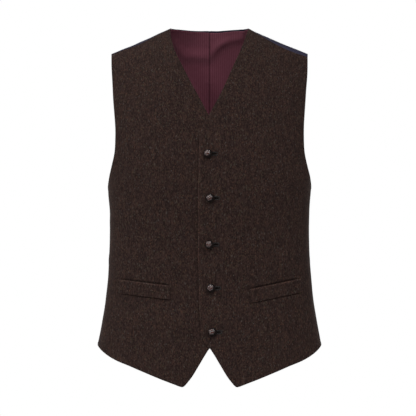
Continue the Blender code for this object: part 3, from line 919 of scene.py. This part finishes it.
class Finish:
    """A material whose nodes are added one by one to a Principled shader."""

    def __init__(self, name, **settings):
        self.material = bpy.data.materials.new(name)
        self.material.use_nodes = True
        self.tree = self.material.node_tree
        self.shader = self.tree.nodes["Principled BSDF"]
        for key, value in settings.items():
            self.feed(self.shader.inputs[key], value)

    def feed(self, socket, value):
        """Links a socket to another, or gives it a value."""
        if isinstance(value, bpy.types.NodeSocket):
            self.tree.links.new(value, socket)
        else:
            socket.default_value = value

    def node(self, kind, inputs, **settings):
        """A node with its settings and inputs."""
        made = self.tree.nodes.new(kind)
        for key, value in settings.items():
            setattr(made, key, value)
        for key, value in inputs.items():
            self.feed(made.inputs[key], value)
        return made

    def math(self, operation, *values):
        """A number worked out from others by a Math node."""
        return self.node("ShaderNodeMath", dict(enumerate(values)), operation=operation).outputs[0]

    def plus(self, one, other):
        """Two numbers added."""
        return self.math("ADD", one, other)

    def times(self, one, other):
        """Two numbers multiplied."""
        return self.math("MULTIPLY", one, other)

    def attribute(self, name):
        """The number that the piece holds by this name for each of its points."""
        return self.node("ShaderNodeAttribute", {}, attribute_name=name).outputs["Fac"]

    def spot(self):
        """The place in the piece's own space, in metres."""
        return self.node("ShaderNodeTexCoord", {}).outputs["Object"]

    def grain(self, scale, detail=2.0):
        """Soft noise about 0.5 in that space, with this many grains a metre."""
        inputs = {"Vector": self.spot(), "Scale": scale, "Detail": detail}
        return self.node("ShaderNodeTexNoise", inputs).outputs["Fac"]

    def place(self, across, up, shift=(0.0, 0.0)):
        """The place on the cloth, counted in these lengths in metres."""
        uv = self.node("ShaderNodeUVMap", {}, uv_map="cloth").outputs["UV"]
        scale = (1 / across, 1 / up, 1.0)
        inputs = {"Vector": uv, "Scale": scale, "Location": (*shift, 0.0)}
        return self.node("ShaderNodeMapping", inputs, vector_type="POINT").outputs["Vector"]

    def noise(self, place, roughness=0.5):
        """Soft noise about 0.5 at a place on the cloth."""
        inputs = {"Vector": place, "Scale": 1.0, "Detail": 2.0, "Roughness": roughness}
        return self.node("ShaderNodeTexNoise", inputs, noise_dimensions="2D").outputs["Fac"]

    def cells(self, place):
        """Random cells on the cloth: each one's own colour, and the distance to its middle."""
        inputs = {"Vector": place, "Scale": 1.0}
        made = self.node("ShaderNodeTexVoronoi", inputs, voronoi_dimensions="2D")
        return made.outputs["Color"], made.outputs["Distance"]

    def split(self, vector):
        """The parts of a colour or a place."""
        made = self.node("ShaderNodeSeparateXYZ", {"Vector": vector})
        return made.outputs["X"], made.outputs["Y"], made.outputs["Z"]

    def middle_seam_shade(self, width):
        """Painted shadow along the seam down the middle: 0 on its line, where u is 0, and 1 on either
        side of it.
        """
        across, _, _ = self.split(self.place(width, width))
        return self.span(self.math("ABSOLUTE", across), *SEAM_SHADE_SPAN)

    def ramp(self, value, stops, interpolation="LINEAR"):
        """A colour for each value, from stops of (value, colour)."""
        made = self.node("ShaderNodeValToRGB", {"Fac": value})
        made.color_ramp.interpolation = interpolation
        elements = made.color_ramp.elements
        while len(elements) < len(stops):
            elements.new(0.5)
        for element, (at, colour) in zip(elements, stops):
            element.position = at
            element.color = (*colour, 1.0)
        return made.outputs["Color"]

    def span(self, value, low, high, to_low=0.0, to_high=1.0):
        """A value carried from one range to another, and held at its ends."""
        inputs = {"Value": value, 1: low, 2: high, 3: to_low, 4: to_high}
        return self.node("ShaderNodeMapRange", inputs, clamp=True).outputs["Result"]

    def mix(self, factor, one, other, blend="MIX"):
        """One colour mixed with another."""
        made = self.node("ShaderNodeMix", {}, data_type="RGBA", blend_type=blend)
        for socket, value in zip((made.inputs[0], made.inputs[6], made.inputs[7]), (factor, one, other)):
            self.feed(socket, (*value, 1.0) if isinstance(value, tuple) and len(value) == 3 else value)
        return made.outputs[2]

    def bump(self, height, distance, strength):
        """Gives the shader a relief of this height in metres."""
        inputs = {"Height": height, "Distance": distance, "Strength": strength}
        self.feed(self.shader.inputs["Normal"], self.node("ShaderNodeBump", inputs).outputs["Normal"])

    def colour(self, value):
        """Gives the shader its colour."""
        self.feed(self.shader.inputs["Base Color"], value)


# How wide and how long the tweed's yarns, streaks, clouds, flecks and nap are.
YARN = (1.25 * MM, 2.7 * MM)
STREAK = (1.7 * MM, 32.0 * MM)
CLOUD = (15.0 * MM, 26.0 * MM)
FLECK = (4.6 * MM, 6.4 * MM)
NAP = (0.7 * MM, 1.0 * MM)
FLECK_RADII = (0.05, 0.17)  # the smallest and the largest, as shares of the room for one
FLECKED_FROM = 0.45  # the share of those rooms that stay empty
FLECK_STRENGTH = 0.7
HIGHLIGHT_GAIN = (1.65, 1.62, 1.60)  # how many times lighter the tweed is where it has a painted highlight
TWEED_LINES = 1.1 * MM  # from one yarn to the next in its relief


def tweed():
    """Dark brown wool tweed: yarns of mixed browns in a fine twill, with rust, olive and grey flecks."""
    finish = Finish("tweed", **{
        "Roughness": 0.95,
        "Specular IOR Level": 0.06,
        "Sheen Weight": 0.05,
        "Sheen Roughness": 0.4,
        "Sheen Tint": (0.62, 0.5, 0.46, 1.0),
    })
    yarn, _ = finish.cells(finish.place(*YARN))
    pick, _, _ = finish.split(yarn)
    base = finish.ramp(pick, (
        (0.00, (0.0162, 0.0096, 0.0085)),
        (0.30, (0.0224, 0.0130, 0.0114)),
        (0.55, (0.0290, 0.0171, 0.0148)),
        (0.80, (0.0362, 0.0215, 0.0186)),
        (0.91, (0.0490, 0.0261, 0.0196)),
        (0.96, (0.0400, 0.0306, 0.0206)),
        (1.00, (0.0560, 0.0450, 0.0400)),
    ))
    streak = finish.noise(finish.place(*STREAK, (3.1, 0.7)))
    base = finish.mix(1.0, base, finish.ramp(streak, (
        (0.25, (0.80, 0.80, 0.80)),
        (0.75, (1.20, 1.19, 1.19)),
    )), "MULTIPLY")
    cloud = finish.noise(finish.place(*CLOUD, (7.7, 2.9)))
    base = finish.mix(1.0, base, finish.ramp(cloud, (
        (0.30, (0.93, 0.95, 0.97)),
        (0.70, (1.07, 1.05, 1.03)),
    )), "MULTIPLY")
    tints, away = finish.cells(finish.place(*FLECK, (1.7, 5.3)))
    which, size, _ = finish.split(tints)
    fleck = finish.math("LESS_THAN", away, finish.span(size, 0.0, 1.0, *FLECK_RADII))
    fleck = finish.times(fleck, finish.math("GREATER_THAN", which, FLECKED_FROM))
    fleck_colour = finish.ramp(which, (
        (FLECKED_FROM, (0.094, 0.045, 0.028)),
        (0.70, (0.070, 0.041, 0.029)),
        (0.84, (0.056, 0.047, 0.029)),
        (0.94, (0.094, 0.083, 0.076)),
    ), "CONSTANT")
    base = finish.mix(finish.times(fleck, FLECK_STRENGTH), base, fleck_colour)
    # A painted highlight: lighter tweed where a piece marks one, on rolled edges that catch the light.
    lit = finish.mix(1.0, base, HIGHLIGHT_GAIN, "MULTIPLY")
    finish.colour(finish.mix(finish.attribute("highlit"), base, lit))

    across, up, _ = finish.split(finish.place(TWEED_LINES, TWEED_LINES))
    diagonal = finish.math("SINE", finish.times(finish.plus(across, up), math.pi))
    yarns = finish.math("ABSOLUTE", finish.math("SINE", finish.times(across, math.pi)))
    relief = finish.plus(finish.times(diagonal, 0.25), finish.times(yarns, 0.25))
    finish.bump(finish.plus(relief, finish.noise(finish.place(*NAP), 0.6)), 0.3 * MM, 0.5)
    return finish.material


# The satin's diagonal lines, and how wide and how long its slubs and clouds are.
SATIN_LINES = 0.55 * MM
SATIN_SLUB = (0.8 * MM, 9.0 * MM)
SATIN_CLOUD = (40.0 * MM, 60.0 * MM)


def satin():
    """Navy satin back cloth: a soft sheen over very fine diagonal lines, and a painted shadow along the
    seam where u is 0.
    """
    finish = Finish("back_satin", **{
        "Roughness": 0.40,
        "Specular IOR Level": 0.22,
        "Sheen Weight": 0.03,
        "Sheen Roughness": 0.35,
        "Sheen Tint": (0.55, 0.6, 0.85, 1.0),
    })
    across, up, _ = finish.split(finish.place(SATIN_LINES, SATIN_LINES))
    line = finish.math("SINE", finish.times(finish.plus(across, up), 2 * math.pi))
    slub = finish.noise(finish.place(*SATIN_SLUB), 0.55)
    cloud = finish.noise(finish.place(*SATIN_CLOUD))
    tone = finish.plus(finish.times(slub, 0.7), finish.times(cloud, 0.3))
    weave = finish.ramp(tone, (
        (0.30, (0.0225, 0.0206, 0.0395)),
        (0.70, (0.0350, 0.0316, 0.0575)),
    ))
    # A dark line of painted shadow along the middle seam.
    finish.colour(finish.mix(finish.middle_seam_shade(BACK_SEAM_SHADE_WIDTH), (0.0060, 0.0055, 0.0100), weave))
    finish.feed(finish.shader.inputs["Roughness"], finish.span(tone, 0.3, 0.7, 0.47, 0.36))
    finish.bump(finish.plus(finish.times(line, 0.3), slub), 0.06 * MM, 0.6)
    return finish.material


STRIPE_PITCH = 3.8 * MM
STRIPE_EDGES = (-0.2, 0.55)  # a stripe's edges, on a wave that is 1 on its middle and -1 between two
LINING_SLUB = (0.7 * MM, 7.0 * MM)


def lining_cloth():
    """Burgundy lining with fine woven pinstripes, and a dark line of painted shadow along the seam where
    u is 0.
    """
    finish = Finish("lining", **{
        "Roughness": 0.5,
        "Specular IOR Level": 0.15,
        "Sheen Weight": 0.06,
        "Sheen Roughness": 0.4,
        "Sheen Tint": (0.9, 0.5, 0.65, 1.0),
    })
    across, _, _ = finish.split(finish.place(STRIPE_PITCH, STRIPE_PITCH))
    wave = finish.math("COSINE", finish.times(across, 2 * math.pi))
    stripe = finish.span(wave, *STRIPE_EDGES)
    slub = finish.noise(finish.place(*LINING_SLUB), 0.55)
    ground = finish.ramp(slub, (
        (0.30, (0.138, 0.0402, 0.0580)),
        (0.70, (0.177, 0.0520, 0.0745)),
    ))
    thread = finish.ramp(slub, (
        (0.30, (0.180, 0.0590, 0.0838)),
        (0.70, (0.230, 0.0776, 0.1086)),
    ))
    cloth_colour = finish.mix(stripe, ground, thread)
    # A dark line of painted shadow along the middle seam.
    seam_shade = finish.middle_seam_shade(LINING_SEAM_SHADE_WIDTH)
    finish.colour(finish.mix(seam_shade, (0.0070, 0.0022, 0.0036), cloth_colour))
    finish.bump(finish.plus(finish.times(stripe, 0.4), slub), 0.08 * MM, 0.6)
    return finish.material


LEATHER_GRAINS = 900.0  # a metre, as all grains are
LEATHER_DETAIL = 3.0
LEATHER_PORES = 1700.0
THREAD_FIBRES = 2500.0
SHADE_SPECKLE = 1500.0


def leather():
    """Dark brown leather, polished on the crown of the straps, with painted shade that turns it near
    black where the straps sink and away from the lit side.
    """
    finish = Finish("leather", **{"Specular IOR Level": 1.0})
    polish_and_light = finish.attribute("polish_and_light")
    grain = finish.grain(LEATHER_GRAINS, LEATHER_DETAIL)
    pores = finish.node("ShaderNodeTexVoronoi", {"Vector": finish.spot(), "Scale": LEATHER_PORES})
    highlit = finish.mix(grain, (0.0290, 0.0074, 0.0050), (0.0870, 0.0225, 0.0150))
    # Where polish and light are low, in the hollows and away from the light, the colour is painted
    # shade, near black.
    finish.colour(finish.mix(finish.span(polish_and_light, 0.15, 0.8), (0.0012, 0.0008, 0.0007), highlit))
    finish.feed(finish.shader.inputs["Roughness"], finish.span(polish_and_light, 0.1, 0.6, 0.80, 0.22))
    finish.bump(finish.plus(grain, pores.outputs["Distance"]), 0.02 * MM, 0.3)
    return finish.material


def shaded_leather():
    """The same leather darkened with painted shade, for the hollows between the straps and down the
    sides of a button.
    """
    finish = Finish("shaded_leather", **{"Roughness": 0.85, "Specular IOR Level": 0.12})
    grain = finish.grain(LEATHER_GRAINS, LEATHER_DETAIL)
    finish.colour(finish.mix(grain, (0.0030, 0.0020, 0.0017), (0.0110, 0.0058, 0.0046)))
    finish.bump(grain, 0.03 * MM, 0.4)
    return finish.material


def thread():
    """Dark brown buttonhole twist."""
    finish = Finish("thread", **{"Roughness": 0.6, "Specular IOR Level": 0.3, "Sheen Weight": 0.1})
    fibre = finish.grain(THREAD_FIBRES)
    finish.colour(finish.mix(fibre, (0.0038, 0.0027, 0.0024), (0.0105, 0.0072, 0.0064)))
    finish.bump(fibre, 0.08 * MM, 0.6)
    return finish.material


def hollow():
    """Painted shade for the inside of a buttonhole: a near-black colour on a thin strip."""
    finish = Finish("hollow", **{"Roughness": 1.0, "Specular IOR Level": 0.0})
    speckle = finish.grain(SHADE_SPECKLE)
    finish.colour(finish.mix(speckle, (0.0040, 0.0031, 0.0027), (0.0100, 0.0076, 0.0066)))
    return finish.material


TWEED, SATIN, LINING = tweed(), satin(), lining_cloth()
LEATHER, SHADED_LEATHER, THREAD, SLIT_SHADE = leather(), shaded_leather(), thread(), hollow()


# ---- the pieces
def settle_piece(piece, node):
    """Has a piece ride on the body and stand for a node, if any."""
    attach(piece, BODY)
    if node:
        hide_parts(node)


def make_front(hand, grid, seam_rows):
    """A front: tweed outside, lined inside, with the pocket's mouth pressed into it."""
    name = "front_" + SIDE[hand]
    folds = (*FRONT_TABLES[hand], pocket_grooves(hand))
    middle, normal = cloth("front", hand, *grid, FRONT_WALL / 2, folds, lap=hand)
    middle = open_side_seam(middle, "front", seam_rows)
    piece = shell("cloth_" + name, middle, normal, FRONT_WALL, FRONT_ROLL, hand == LEFT,
                  cloth_uv(middle, hand), (TWEED, LINING),
                  sewn_edges(*middle.shape[:2], seam_rows), EDGE_BULK)
    # A painted highlight down the left front's edge, patchy along it, where the rolled edge catches the
    # light from the left.
    if hand == LEFT:
        height = middle[..., 2]
        ends = step(height, *HIGHLIGHT_STARTS) * (1 - step(height, *HIGHLIGHT_ENDS))
        mean, change = HIGHLIGHT_SHARE
        patchy = mean + change * np.sin(height / HIGHLIGHT_PATCH)
        mark_highlight(piece, ends * patchy * np.exp(-((arc_lengths(middle, 1) / EDGE_HIGHLIGHT) ** 2)))
    settle_piece(piece, name)


def back_shell(name, hand, grid, seam_rows, depth, wall, folds, finish):
    """A panel of the back: a back at half its wall's depth in the form, or its lining deeper in."""
    middle, normal = cloth("back", hand, *grid, depth, folds)
    middle = open_side_seam(middle, "back", seam_rows)
    seams = sewn_edges(*middle.shape[:2], seam_rows, NECK_COLUMNS, middle=True)
    return shell("cloth_" + name, middle, normal, wall, BACK_ROLL, hand == RIGHT,
                 cloth_uv(middle, hand), (finish,), seams)


def make_back(hand, grid, seam_rows):
    """A back of navy satin."""
    name = "back_" + SIDE[hand]
    piece = back_shell(name, hand, grid, seam_rows, BACK_WALL / 2, BACK_WALL, BACK_TABLES[hand], SATIN)
    settle_piece(piece, name)


def make_lining(hand, grid, seam_rows):
    """A back lining, inside a back."""
    name = "lining_" + SIDE[hand]
    depth = BACK_WALL + LAYER_GAP + LINING_WALL / 2
    piece = back_shell(name, hand, grid, seam_rows, depth, LINING_WALL, LINING_TABLES[hand], LINING)
    settle_piece(piece, name)


def make_welt(hand):
    """A pocket welt: a folded strip that lies on its front, sewn down at its foot and ends."""
    name = "welt_" + SIDE[hand]
    inner_x, inner_z, outer_x, outer_z = np.array(WELTS[hand]) * MM
    length = math.hypot(outer_x - inner_x, outer_z - inner_z)
    along, up = np.meshgrid(shares(length, WELT_STEP), shares(WELT_TALL, WELT_STEP) - 0.5)
    x = inner_x + (outer_x - inner_x) * along
    z = inner_z + (outer_z - inner_z) * along + WELT_TALL * up
    lean_x, lean_z = unit(outer_x - inner_x, outer_z - inner_z)
    for end_x, end_z, way in ((inner_x, inner_z, 1.0), (outer_x, outer_z, -1.0)):
        for high in (-1.0, 1.0):
            corner = (end_x, end_z + high * WELT_TALL / 2)
            x, z = round_corner(x, z, corner, (way * lean_x, way * lean_z), (0.0, -high), WELT_ROUND)
    stands = WELT_LIFT + WELT_WALL / 2 + WELT_STANDS_OFF * step(up, WELT_STANDS_FROM, 0.5)
    base, normal = front_surface(hand, x, z, 0.0)
    middle = base + normal * stands[..., None]
    cloth_x, cloth_z = WELT_CLOTH_AT
    uv = np.stack([along * length + cloth_x, up * WELT_TALL + cloth_z * hand], -1)
    piece = shell("cloth_" + name, middle, normal, WELT_WALL, WELT_ROLL, hand == LEFT, uv, (TWEED,))
    # A painted highlight along the welt's top edge, where its fold catches the light.
    mark_highlight(piece, np.exp(-(((0.5 - up) * WELT_TALL / EDGE_HIGHLIGHT) ** 2)))
    settle_piece(piece, name)


def strap_relief(angle_out, turn):
    """How high the woven straps stand, from 0 to 1, at an angle from the crown and a turn round it."""
    p = angle_out * np.cos(turn) / STRAP_WIDE
    q = angle_out * np.sin(turn) / STRAP_WIDE
    i, j = np.round(p), np.round(q)
    upright = (i + j) % 2 == 0
    cross = np.where(upright, p - i, q - j)
    along = np.where(upright, q - j, p - i)
    body = (1 - np.clip(2 * np.abs(cross), 0, 1) ** STRAP_SQUARENESS) ** 0.5
    mean, change = STRAP_HEIGHT
    return body * (mean + change * np.cos(math.pi * along))


def button_shape(spin):
    """A button's points on its own upright axis, how polished and how painted lit each is, and its
    faces.

    The points are its crown, the rings of its dome, the two rings of its shank and the shank's end.
    """
    angles = np.linspace(0.0, BUTTON_FOOT, BUTTON_RINGS)[1:]
    turns = np.linspace(0.0, 2 * math.pi, BUTTON_SIDES, endpoint=False)
    a, t = np.meshgrid(angles, turns, indexing="ij")
    relief = strap_relief(a, t + spin) * (1 - step(a, *STRAPS_FADE))
    crown_relief = strap_relief(np.float64(0.0), np.float64(0.0))
    # The lit side: round a point up and towards the light, the leather is painted lit, and polished.
    lean = np.sin(a) * np.cos(t - LIT_TURN) * math.sin(LIT_LEAN)
    lean = lean + np.cos(a) * math.cos(LIT_LEAN)
    lit = 1 - step(np.arccos(np.clip(lean, -1.0, 1.0)), LIT_TO, SHADED_FROM)

    radius = BUTTON_RADIUS - STRAP_RELIEF * (1 - relief)
    high = (BUTTON_TALL - BUTTON_CENTRE) / BUTTON_RADIUS
    low = BUTTON_CENTRE / BUTTON_RADIUS / abs(math.cos(BUTTON_FOOT))
    tall = np.where(np.cos(a) > 0, high, low)
    dome = np.stack([radius * np.sin(a) * np.cos(t), radius * np.sin(a) * np.sin(t),
                     BUTTON_CENTRE + radius * tall * np.cos(a)], -1)
    crown = BUTTON_CENTRE + (BUTTON_RADIUS - STRAP_RELIEF * (1 - crown_relief)) * high
    round_axis = np.stack([np.cos(turns), np.sin(turns)], -1)
    shank_end = -BUTTON_LIFT + SHANK_CLEAR
    shank = [np.column_stack([reach * round_axis, np.full(BUTTON_SIDES, height)])
             for reach, height in zip(SHANK_RADII, (SHANK_CLEAR, shank_end))]
    verts = np.concatenate([[[0.0, 0.0, crown]], dome.reshape(-1, 3), *shank, [[0.0, 0.0, shank_end]]])
    polish_and_light = np.zeros(len(verts))
    polish_and_light[0] = crown_relief
    polish_and_light[1:1 + relief.size] = (relief * lit).ravel()

    last = len(verts) - 1
    ring = np.arange(1, last).reshape(-1, BUTTON_SIDES)
    ahead = np.roll(ring, -1, axis=1)
    faces = [(0, here, there) for here, there in zip(ring[0], ahead[0])]
    faces += list(np.stack([ring[:-1], ring[1:], ahead[1:], ahead[:-1]], -1).reshape(-1, 4))
    faces += [(here, last, there) for here, there in zip(ring[-1], ahead[-1])]
    return verts, polish_and_light, faces


def make_button(number, x, z):
    """A domed button woven from leather straps, sewn through the buttonhole."""
    seat, out = front_surface(LEFT, np.float64(x), np.float64(z), BUTTON_LIFT)
    turned = Vector((0, 0, 1)).rotation_difference(Vector(out)).to_matrix()
    verts, polish_and_light, faces = button_shape(math.radians(BUTTON_TURNS[number - 1]))
    # Faces low on polish and light take the leather with painted shade.
    shaded = [np.mean(polish_and_light[list(face)]) < SHADED_BELOW for face in faces]
    piece = add_mesh(f"knot_button_{number}", verts @ np.array(turned).T + np.array(seat), faces,
                     (LEATHER, SHADED_LEATHER), face_finish=shaded)
    mark(piece, "polish_and_light", polish_and_light)
    settle_piece(piece, f"button_{number}")


def tubes(lines, radius):
    """The points and faces of a closed tube of thread along each line, thinner at its ends."""
    verts, faces = [], []
    turns = 2 * math.pi * np.arange(THREAD_SIDES) / THREAD_SIDES
    for line in lines:
        start = len(verts)
        thick = np.full(len(line), radius)
        thick[[0, -1]] = radius * THREAD_END
        for place, run, reach in zip(line, np.gradient(line, axis=0), thick):
            run = run / np.linalg.norm(run)
            side = np.cross(run, OFF_THREAD)
            side = side / np.linalg.norm(side)
            other = np.cross(run, side)
            verts += [place + reach * (math.cos(t) * side + math.sin(t) * other) for t in turns]
        ring = start + np.arange(len(line) * THREAD_SIDES).reshape(-1, THREAD_SIDES)
        ahead = np.roll(ring, -1, axis=1)
        faces += list(np.stack([ring[:-1], ahead[:-1], ahead[1:], ring[1:]], -1).reshape(-1, 4))
        faces += [ring[0, ::-1], ring[-1]]
    return verts, faces


def sew(name, hand, stitches, rise, radius):
    """A piece of thread stitches on a front, each between two places and this far off the cloth."""
    t = np.linspace(0.0, 1.0, len(rise))
    lines = []
    for (x0, z0), (x1, z1) in stitches:
        places, _ = front_surface(hand, x0 + (x1 - x0) * t, z0 + (z1 - z0) * t, rise)
        lines.append(places)
    settle_piece(add_mesh(name, *tubes(lines, radius), (THREAD,)), None)


def hole_stitches(x, z):
    """The stitches round a buttonhole, each from the slit outwards: along its sides, then its end."""
    start, end = x - HOLE_INNER, x + HOLE_OUTER
    reach = HOLE_GAPE + STITCH_LONG
    stitches = []
    count = round((end - start) / STITCH_STEP)
    for k in range(count + 1):
        at = start + (end - start) * k / count
        for way in (-1.0, 1.0):
            stitches.append(((at, z + way * HOLE_GAPE * STITCH_FROM), (at, z + way * reach)))
    for k in range(1, END_STITCHES):
        turn = math.pi * (k / END_STITCHES - 0.5)
        out, up = math.cos(turn), math.sin(turn)
        near = (end + HOLE_GAPE * END_ROUND * out, z + HOLE_GAPE * END_ROUND * up)
        stitches.append((near, (end + reach * END_FLATTENED * out, z + reach * up)))
    return stitches


def make_buttonhole(number, x, z):
    """A worked buttonhole: a slit of painted shade, a thin dark strip, with thread all round it."""
    sew(f"buttonhole_{number}", LEFT, hole_stitches(x, z), STITCH_RADIUS * STITCH_RISE, STITCH_RADIUS)
    across, along = np.meshgrid(np.linspace(-1.0, 1.0, SLIT_COLUMNS), np.linspace(0.0, 1.0, SLIT_ROWS))
    slit_x = x - HOLE_INNER + (HOLE_INNER + HOLE_OUTER) * along
    slit_z = z + across * HOLE_GAPE * (1 - along**SLIT_SQUARENESS) ** 0.5
    places, normals = front_surface(LEFT, slit_x, slit_z, SLIT_LIFT)
    uv = np.stack([slit_x, slit_z], -1)
    # The slit: a thin strip on the cloth, dark with painted shade.
    slit = shell(f"slit_{number}", places, normals, SLIT_WALL, SLIT_ROLL, True, uv, (SLIT_SHADE,))
    settle_piece(slit, None)


def make_tacks(hand):
    """Short prick stitches that hold down the ends of a welt."""
    inner_x, inner_z, outer_x, outer_z = np.array(WELTS[hand]) * MM
    stitches = []
    for x, z, way in ((inner_x, inner_z, 1.0), (outer_x, outer_z, -1.0)):
        low_x, high_x = (x + way * inset for inset in TACK_IN)
        for k in range(TACKS):
            at = z + WELT_TALL * (k / (TACKS - 1) - 0.5) * TACKS_REACH
            stitches.append(((low_x, at - TACK_TALL / 2), (high_x, at + TACK_TALL / 2)))
    sew("tacks_" + SIDE[hand], hand, stitches, WELT_LIFT + WELT_WALL + TACK_RISE, TACK_RADIUS)


LOWS, HIGHS = low_shares(False), high_shares()
FRONT_LOWS = low_shares(True)
NECK_COLUMNS = len(shares(NECK_POINT_X, CLOTH_STEP, high_edge=False)) - 1
LINING_EDGE = np.append(LINING_UP, LINING_UP + EDGE_STEPS) / PANEL_DROP
LINING_LOWS = np.append(LINING_EDGE, LOWS[LOWS > (LINING_UP + 2 * EDGE_STEPS[-1]) / PANEL_DROP])
LINING_HIGHS = HIGHS * (1 - LINING_IN / PANEL_RISE)

for hand in (LEFT, RIGHT):
    make_front(hand, front_grid(hand, FRONT_LOWS, HIGHS), len(FRONT_LOWS))
    make_back(hand, back_grid(hand, LOWS, HIGHS), len(LOWS))
    make_lining(hand, back_grid(hand, LINING_LOWS, LINING_HIGHS, LINING_ARMHOLE_IN), len(LINING_LOWS))
for hand in (LEFT, RIGHT):
    make_welt(hand)
    make_tacks(hand)
for number, (x, z) in enumerate(BUTTONS, start=1):
    make_button(number, x * MM, z * MM)
    make_buttonhole(number, x * MM, z * MM)


# ---- floor, light and camera
FLOOR_Z = -0.95
FLOOR_RADIUS = 1.78
FLOOR_SIDES = 96
FLOOR_FADES = (0.9, 0.98 * FLOOR_RADIUS)
FLOOR_HAZE = 0.8  # patches a metre
CAMERA_AT = (-0.0028, -3.0, -0.3134)
FOCAL_PIXELS = 1631.0
IMAGE_PIXELS = 416
SENSOR_MM = 36.0

# Soft square lights: name, place, size and watts.
LIGHTS = (
    ("key", (-1.15, -2.6, 0.75), 0.42, 13.0),
    ("left_box", (-2.1, -1.5, 1.0), 1.6, 14.5),
    ("left_side", (-2.6, 0.0, 0.9), 1.6, 30.0),
    ("front_box", (-0.5, -2.7, 1.8), 1.6, 23.5),
    ("right_box", (1.6, -2.3, 1.9), 1.6, 29.0),
    ("right_side", (2.5, -0.5, 0.3), 1.6, 8.0),
    ("high_right", (1.0, -1.4, 2.1), 1.4, 18.0),
    ("overhead", (0.0, 0.1, 2.2), 1.4, 5.0),
    ("back_left", (0.9, 3.0, 0.2), 1.6, 40.0),
    ("back_right", (-1.1, 2.9, -0.2), 1.6, 24.0),
)
WORLD_LIGHT = 0.07  # how bright the white all round is as a light
WORLD_SEEN = 1.0  # and as a background
LOOK_AT = Vector((0.0, 0.0, -0.3))


def make_floor():
    """A plain pale floor well below the garment, which fades into the white round it."""
    turns = [2 * math.pi * k / FLOOR_SIDES for k in range(FLOOR_SIDES)]
    corners = [(FLOOR_RADIUS * math.cos(t), FLOOR_RADIUS * math.sin(t), FLOOR_Z) for t in turns]
    finish = Finish("floor", **{"Roughness": 0.9, "Specular IOR Level": 0.1})
    finish.colour(finish.mix(finish.grain(FLOOR_HAZE), (0.90, 0.90, 0.90), (0.93, 0.93, 0.93)))
    across, deep, _ = finish.split(finish.spot())
    away = finish.math("SQRT", finish.plus(finish.times(across, across), finish.times(deep, deep)))
    finish.feed(finish.shader.inputs["Alpha"], finish.span(away, *FLOOR_FADES, 1.0, 0.0))
    floor = add_mesh("floor", corners, [tuple(range(FLOOR_SIDES))], (finish.material,))


def make_lights():
    """Soft boxes round the garment, and even light from all round."""
    for name, place, size, watts in LIGHTS:
        data = bpy.data.lights.new(name, "AREA")
        data.shape = "SQUARE"
        data.size = size
        data.energy = watts
        lamp = bpy.data.objects.new(name, data)
        lamp.location = place
        lamp.rotation_euler = (LOOK_AT - Vector(place)).to_track_quat("-Z", "Y").to_euler()
        bpy.context.scene.collection.objects.link(lamp)
    world = bpy.data.worlds.new("studio")
    world.use_nodes = True
    background = world.node_tree.nodes["Background"]
    background.inputs["Color"].default_value = (1.0, 1.0, 1.0, 1.0)
    seen = world.node_tree.nodes.new("ShaderNodeLightPath").outputs["Is Camera Ray"]
    strength = world.node_tree.nodes.new("ShaderNodeMapRange")
    strength.inputs["To Min"].default_value = WORLD_LIGHT
    strength.inputs["To Max"].default_value = WORLD_SEEN
    world.node_tree.links.new(seen, strength.inputs["Value"])
    world.node_tree.links.new(strength.outputs["Result"], background.inputs["Strength"])
    bpy.context.scene.world = world


def make_camera():
    """A level camera straight in front."""
    data = bpy.data.cameras.new("camera")
    data.sensor_width = SENSOR_MM
    data.lens = FOCAL_PIXELS * SENSOR_MM / IMAGE_PIXELS
    camera = bpy.data.objects.new("camera", data)
    camera.location = CAMERA_AT
    camera.rotation_euler = (math.radians(90.0), 0.0, 0.0)
    bpy.context.scene.collection.objects.link(camera)
    bpy.context.scene.camera = camera


make_floor()
make_lights()
make_camera()
bpy.context.scene.view_settings.view_transform = "Standard"
